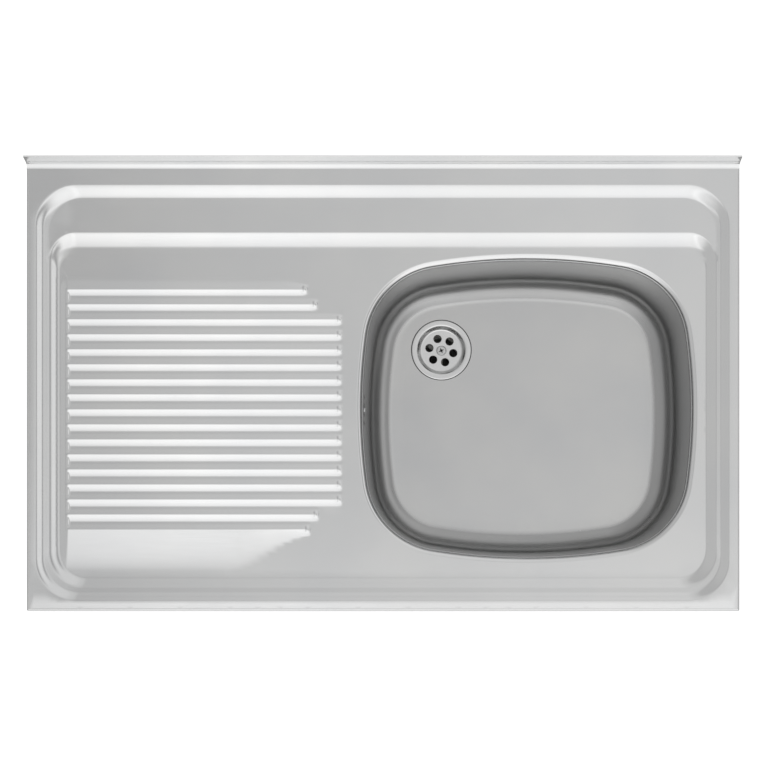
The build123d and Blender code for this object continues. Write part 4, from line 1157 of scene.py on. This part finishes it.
def make_strainer():
    """The waste's flange and dish in one pressing, with its holes and a dimple for the screw."""
    profile = [
        (35.05, 0.0), (34.2, 0.12), (30.4, 0.12), (29.2, 0.0), (28.75, -0.3), (28.4, -0.9), (25.4, -5.3),
        (25.0, -5.9), (24.3, -6.2), (23.2, -6.2), (6.4, -6.2), (6.02, -6.3), (3.3, -8.8), (3.3, -9.8),
        (6.02, -7.2), (25.0, -7.2), (25.9, -6.6), (29.3, -1.2), (29.6, -1.0), (35.05, -1.0), (35.25, -0.8),
        (35.25, -0.2), (35.05, 0.0),
    ]
    levelled = [(radius, floor_z + height) for radius, height in profile]
    strainer = turned(levelled, 96, (waste_x, waste_y))
    drills = []
    drill = drill_profile(strainer_hole_radius, floor_z - drill_foot, floor_z - drill_top)
    for number in range(strainer_hole_count):
        turn = math.radians(strainer_hole_start + 360 // strainer_hole_count * number)
        centre_x = waste_x + strainer_hole_ring * math.cos(turn)
        centre_y = waste_y + strainer_hole_ring * math.sin(turn)
        drills.append(turned(drill, 36, (centre_x, centre_y)))
    cut(strainer, drills)
    eased(strainer, 0.18, 50)
    return strainer


thread_crest, thread_root = (0.15, 0.3), (0.7, 0.85)  # where they lie in each pitch
thread_depth = 0.55  # of the pitch
cross_reach, cross_thickness = 0.66, 0.23  # of the head's radius
tip_run, tip_end = 1.2, 0.8  # heights above a screw's end where its thread stops and its tip starts


def thread(radius, pitch, top, bottom):
    """Ridges of a screw's thread from top to bottom."""
    profile = []
    root = radius - thread_depth * pitch
    height = top
    while height - pitch > bottom:
        profile += [(radius, height - share * pitch) for share in thread_crest]
        profile += [(root, height - share * pitch) for share in thread_root]
        height -= pitch
    return profile


def make_screw(head, radius, pitch, length, cross_depth, turn=25):
    """A machine screw, head up with its face at 0: points of the head, thread, tip and cross recess."""
    foot = head[-1][1]
    profile = [(axis_radius, head[0][1])] + head
    profile += thread(radius, pitch, foot, tip_run - length)
    profile += [(radius - 0.1, tip_end - length), (0.7 * radius, -length), (axis_radius, -length)]
    screw = turned(profile, 32)
    head_radius = max(point[0] for point in head)
    reach, thickness = cross_reach * head_radius, cross_thickness * head_radius
    cut(screw, [blade(reach, thickness, cross_depth, angle) for angle in (turn, turn + 90)])
    eased(screw, 0.08, 50, 1)
    # The faces of the cross recess take the second, near-black finish: painted shade in the recess.
    screw.data.materials.clear()
    for finish in ("screw_steel", "screw_recess"):
        screw.data.materials.append(finishes[finish])
    for face in screw.data.polygons:
        middle = face.center / MM
        from_axis = math.hypot(middle.x, middle.y)
        inside = from_axis < reach and -cross_depth - 0.05 < middle.z < -0.12
        above_shaft = middle.z > foot or from_axis < 0.35 * reach
        face.material_index = 1 if inside and above_shaft else 0
    return screw


place(make_strainer(), "strainer_pressing", "waste_strainer", "sink_body")

screw_low, screw_high = frame_box("strainer_screw")
screw_length = screw_high.z - screw_low.z
flat_head = [(4.6, 0.0), (5.1, -0.05), (5.4, -0.3), (3.0, -2.5)]
waste_screw = make_screw(flat_head, radius=3.0, pitch=1.0, length=screw_length, cross_depth=2.6)
waste_screw.data.transform(Matrix.Translation((waste_x * MM, waste_y * MM, screw_high.z * MM)))
place(waste_screw, "waste_screw", "strainer_screw", "strainer_screw")

pan_head = [(1.6, 0.0), (2.6, -0.12), (3.3, -0.5), (3.7, -1.1), (3.8, -1.6), (3.8, -2.0), (2.5, -2.0)]
head_stand = 2.1  # how far its head stands in from the wall
wall_screw = make_screw(pan_head, radius=2.5, pitch=0.8, length=14.0, cross_depth=1.4)
wall_screw.data.transform(wall_frame(overflow_centre - overflow_out * head_stand, -overflow_out))
place(wall_screw, "wall_screw", "overflow_screw", "overflow_screw")

# ---------------------------------------------------------------- overflow hose

hose_top = frame_box("overflow_hose")[1].z
hose_bore, hose_root, hose_crest, cuff_radius = 7.5, 9.0, 11.0, 8.8
hose_bend = 58.0
hose_start_x = -48.27284  # of its middle line
hose_end_x, hose_end_y, hose_level = 26.83, 29.48, -138.1
cuff_length, cuff_blend = 17.0, 3  # plain ends, and their run into the ribs
edge_round = 0.3
rib_pitch, rib_count, rib_swell = 4.4, 33, 0.62  # the last over 0.5, so that the crests are flattened


def hose_line():
    """The hose's start, level heading, straight lengths and drop, from its two ends."""
    start = Vector((hose_start_x, bowl_y, hose_top))
    heading = Vector((waste_x - start.x, waste_y - start.y, 0)).normalized()
    drop = hose_top - hose_level - hose_bend
    end = Vector((hose_end_x, hose_end_y, hose_level))
    level = (end - Vector((start.x, start.y, hose_level))).length - hose_bend
    return start, heading, drop, level


def hose_ring(distance, radius, sides, line):
    """Points and normals of one ring of the hose, so far along its middle line."""
    start, heading, drop, level = line
    down = Vector((0, 0, -1))
    side = Vector((-heading.y, heading.x, 0))
    arc = hose_bend * math.pi / 2
    if distance < drop:
        middle, outward = start + down * distance, -heading
    elif distance < drop + arc:
        turn = (distance - drop) / hose_bend
        outward = -heading * math.cos(turn) + down * math.sin(turn)
        middle = start + down * drop + heading * hose_bend + outward * hose_bend
    else:
        beyond = distance - drop - arc
        middle, outward = start + down * (drop + hose_bend) + heading * (hose_bend + beyond), down
    ring = []
    for step in range(sides):
        turn = 2 * math.pi * step / sides
        ring.append(middle + (outward * math.cos(turn) + side * math.sin(turn)) * radius)
    return ring


def make_hose():
    """The ribbed hose: smooth cuff, ribs with rounded crests, smooth cuff, and the bore back through it."""
    line = hose_line()
    length = line[2] + hose_bend * math.pi / 2 + line[3]
    first_rib = (length - rib_count * rib_pitch) / 2
    worn = cuff_radius - edge_round
    stations = [(0.0, hose_bore + 0.2), (0.0, worn), (edge_round, cuff_radius)]
    stations += [(cuff_length - cuff_blend, cuff_radius)]
    rib_steps = 10
    for rib in range(rib_count):
        for step in range(rib_steps):
            share = step / rib_steps
            swell = min(max(rib_swell - rib_swell * math.cos(2 * math.pi * share), 0), 1)
            swell = swell * swell * (3 - 2 * swell)
            radius = hose_root + (hose_crest - hose_root) * swell
            stations.append((first_rib + (rib + share) * rib_pitch, radius))
    stations += [(first_rib + rib_count * rib_pitch, hose_root)]
    stations += [(length - cuff_length + cuff_blend, cuff_radius), (length - edge_round, cuff_radius)]
    stations += [(length, worn), (length, hose_bore + 0.2)]
    stations += [(length - 0.2, hose_bore)]
    bore_steps = 48
    stations += [(length * (1 - step / bore_steps), hose_bore) for step in range(1, bore_steps)]
    stations += [(0.2, hose_bore)]
    sides = 40
    points = [point for distance, radius in stations for point in hose_ring(distance, radius, sides, line)]
    faces = ring_faces(len(stations), sides)
    last = (len(stations) - 1) * sides
    for step in range(sides):
        following = (step + 1) % sides
        faces.append((last + step, last + following, following, step))
    flat = [tuple(point) for point in points]
    hose = code_mesh("ribbed_hose", [(np.array(flat), np.array(flat), faces)], keep_normals=False)
    pick_only(hose)
    bpy.ops.object.mode_set(mode="EDIT")
    bpy.ops.mesh.select_all(action="SELECT")
    bpy.ops.mesh.normals_make_consistent(inside=False)
    bpy.ops.object.mode_set(mode="OBJECT")
    bpy.ops.object.shade_smooth_by_angle(angle=math.radians(60))
    return hose


place(make_hose(), "ribbed_hose", "overflow_hose", "sink_body")

# ---------------------------------------------------------------- pieces refined from their CAD nodes

# Finish, how far edges are eased, and the nodes; only the two nuts turn, each as its own body
refined_pieces = [
    ("white_plastic", 0.4, ["waste_body"]),
    ("white_plastic", 0.5, ["overflow_head"]),
    ("nut_plastic", 0.4, ["hose_nut_head", "hose_nut_body"]),
    ("insert_brass", 0.25, ["screw_insert", "head_insert"]),
    ("gasket_rubber", 0.2, ["strainer_gasket"]),
    ("gasket_rubber", 0.5, ["body_gasket"]),
    ("gasket_rubber", 0.4, ["overflow_gasket", "hose_seal_head", "hose_seal_body"]),
    ("batten_wood", 0.9, ["left_batten", "right_batten"]),
    ("batten_wood_across", 0.9, ["front_batten", "rear_batten"]),
    ("coated_steel", 0.25, ["drainboard_stiffener_left", "drainboard_stiffener_right"]),
    ("pad_rubber", 0.6, ["drainboard_sound_pad", "bowl_sound_pad"]),
    ("bracket_plastic", 0.5, ["bracket_front_left", "bracket_front_right"]),
    ("bracket_plastic", 0.5, ["bracket_rear_left", "bracket_rear_right"]),
    ("bracket_screw_steel", 0.12, ["bracket_screws"]),
]
for finish, width, nodes in refined_pieces:
    for node in nodes:
        body = node if finish == "nut_plastic" else "sink_body"
        place(refined(node, width), "finished_" + node, node, body, finish)


# ---------------------------------------------------------------- camera, floor and light

camera_height = 2400.0  # above the rim
camera_x, camera_y = 50.0, -195.0
frame_width = 861.7  # what the photograph takes in at the rim
view_x, view_y = 1.0, 3.9  # middle of the photograph, at the rim
sensor_width = 36.0
camera_data = bpy.data.cameras.new("camera")
camera = bpy.data.objects.new("camera", camera_data)
bpy.context.scene.collection.objects.link(camera)
camera_data.sensor_width = sensor_width
camera_data.lens = sensor_width * camera_height / frame_width
camera.location = (camera_x * MM, camera_y * MM, (rim_z + camera_height) * MM)
camera_data.shift_x = (view_x - camera_x) / frame_width
camera_data.shift_y = (view_y - camera_y) / frame_width
camera_data.clip_end = 100
bpy.context.scene.camera = camera


floor_radius, floor_gap = 40.0, 0.001  # metres, and how far it lies under the outlet
waste_shade = (0.024, 0.03)  # from this far to that far from the waste's middle the floor's glow sets in
floor_glow, mirrored_glow = 0.95, 0.2  # the second is what steel mirrors of it


def lay_floor():
    """A wide pale floor under the outlet, topped up to white where it is seen, but not inside the waste."""
    place_at = (0, 0, cad_low.z - floor_gap)
    bpy.ops.object.select_all(action="DESELECT")
    bpy.ops.mesh.primitive_circle_add(vertices=64, radius=floor_radius, fill_type="NGON", location=place_at)
    floor = bpy.context.object
    floor.name = "studio_floor"
    material, tree, at = started("floor_paper")
    paper = add(tree, "BsdfDiffuse", {"Color": (0.3, 0.3, 0.3, 1)})
    from_waste = add(tree, "VectorMath", {0: at, 1: (waste_x * MM, waste_y * MM, 0)}, operation="DISTANCE")
    open_floor = stepped(tree, from_waste.outputs["Value"], *waste_shade, 0.0, 1.0)
    path = add(tree, "LightPath")
    seen = computed(tree, "MAXIMUM", path.outputs["Is Camera Ray"], path.outputs["Is Transmission Ray"])
    mirrored = computed(tree, "MULTIPLY", path.outputs["Is Glossy Ray"], mirrored_glow)
    strength = computed(tree, "MULTIPLY", computed(tree, "MAXIMUM", seen, mirrored), open_floor)
    strength = computed(tree, "MULTIPLY", strength, floor_glow)
    glow = add(tree, "Emission", {"Strength": strength})
    both = add(tree, "AddShader", {0: paper.outputs[0], 1: glow.outputs[0]})
    add(tree, "OutputMaterial", {"Surface": both.outputs[0]})
    floor.data.materials.append(material)


# Steps of the light as (from, to, strength before, strength after), over x, front and z of a direction or
# over how level it is
grey_left_end, grey_right_end = (-0.18, -0.08, 0.57, 0.77), (0.0, 0.05, 0.0, 0.1)
grey_back = (-0.5, -0.2, 0.08, 0.0)
bright_left_end, bright_loss = (-0.2, -0.11, 1.25, 1.6), (-0.06, 0.0, 0.0, 0.26)
bright_gain = (0.0, 0.06, 0.0, 0.1)
bright_edge, bright_beyond = (-0.03, 0.13, 0.0, 0.75), (0.1, 0.7, 0.0, 0.25)
away_from_ceiling = (0.2, 0.38, 0.0, 1.0)
right_side, left_side = (0.5, 0.9, 0.0, 1.0), (-0.9, -0.5, 1.0, 0.0)
right_fade, low_fade, low_front = (0.3, 0.55, 0.8, 0.5), (0.2, 0.45, 0.0, 1.0), (0.4, 0.9, 0.3, 1.3)
box_foot, box_top, screen_rise = (0.42, 0.54, 0.0, 0.6), (0.7, 0.84, 1.0, 0.0), (0.2, 0.5, 0.35, 0.72)
light_strength = 0.8


def hang_light():
    """A soft studio round the sink: broad light in front, weaker at both sides, dark gaps between."""
    world = bpy.data.worlds.new("studio")
    bpy.context.scene.world = world
    tree = nodes_of(world)
    parts = add(tree, "SeparateXYZ", {0: add(tree, "TexCoord").outputs["Generated"]})
    x, y, z = parts.outputs
    front = computed(tree, "MULTIPLY", y, -1.0)
    level = computed(tree, "MULTIPLY_ADD", z, computed(tree, "MULTIPLY", z, -1.0), 1.0)
    level = computed(tree, "SQRT", computed(tree, "MAXIMUM", level, 0.0001))
    toward_right = computed(tree, "DIVIDE", x, level)
    # The ceiling: bright to the front, grey to the back, weaker over the drainboard's left end
    grey = summed(tree, stepped(tree, x, *grey_left_end), stepped(tree, x, *grey_right_end))
    grey = summed(tree, grey, stepped(tree, front, *grey_back))
    bright = computed(tree, "SUBTRACT", stepped(tree, x, *bright_left_end), stepped(tree, x, *bright_loss))
    bright = summed(tree, bright, stepped(tree, x, *bright_gain))
    share = summed(tree, stepped(tree, front, *bright_edge), stepped(tree, front, *bright_beyond))
    ceiling = blended(tree, share, grey, bright)
    # Away from it: what hangs at each side, seen in the walls and rounded steps
    away = stepped(tree, level, *away_from_ceiling)
    right = computed(tree, "MULTIPLY", stepped(tree, toward_right, *right_side), away)
    left = computed(tree, "MULTIPLY", stepped(tree, toward_right, *left_side), away)
    dome = blended(tree, right, ceiling, stepped(tree, level, *right_fade))
    dome = blended(tree, stepped(tree, z, *low_fade), stepped(tree, front, *low_front), dome)
    # A box of light low at the right, a screen at the left
    box = computed(tree, "MULTIPLY", stepped(tree, z, *box_foot), stepped(tree, z, *box_top))
    dome = computed(tree, "MULTIPLY_ADD", box, right, dome)
    dome = blended(tree, left, dome, stepped(tree, z, *screen_rise))
    dome = computed(tree, "MULTIPLY", dome, light_strength)
    # The camera sees plain white behind everything
    shown = blended(tree, add(tree, "LightPath").outputs["Is Camera Ray"], dome, 1.0)
    background = add(tree, "Background", {"Color": (1, 1, 1, 1), "Strength": shown})
    add(tree, "OutputWorld", {"Surface": background.outputs[0]})


lay_floor()
hang_light()
bpy.context.scene.view_settings.view_transform = "Standard"
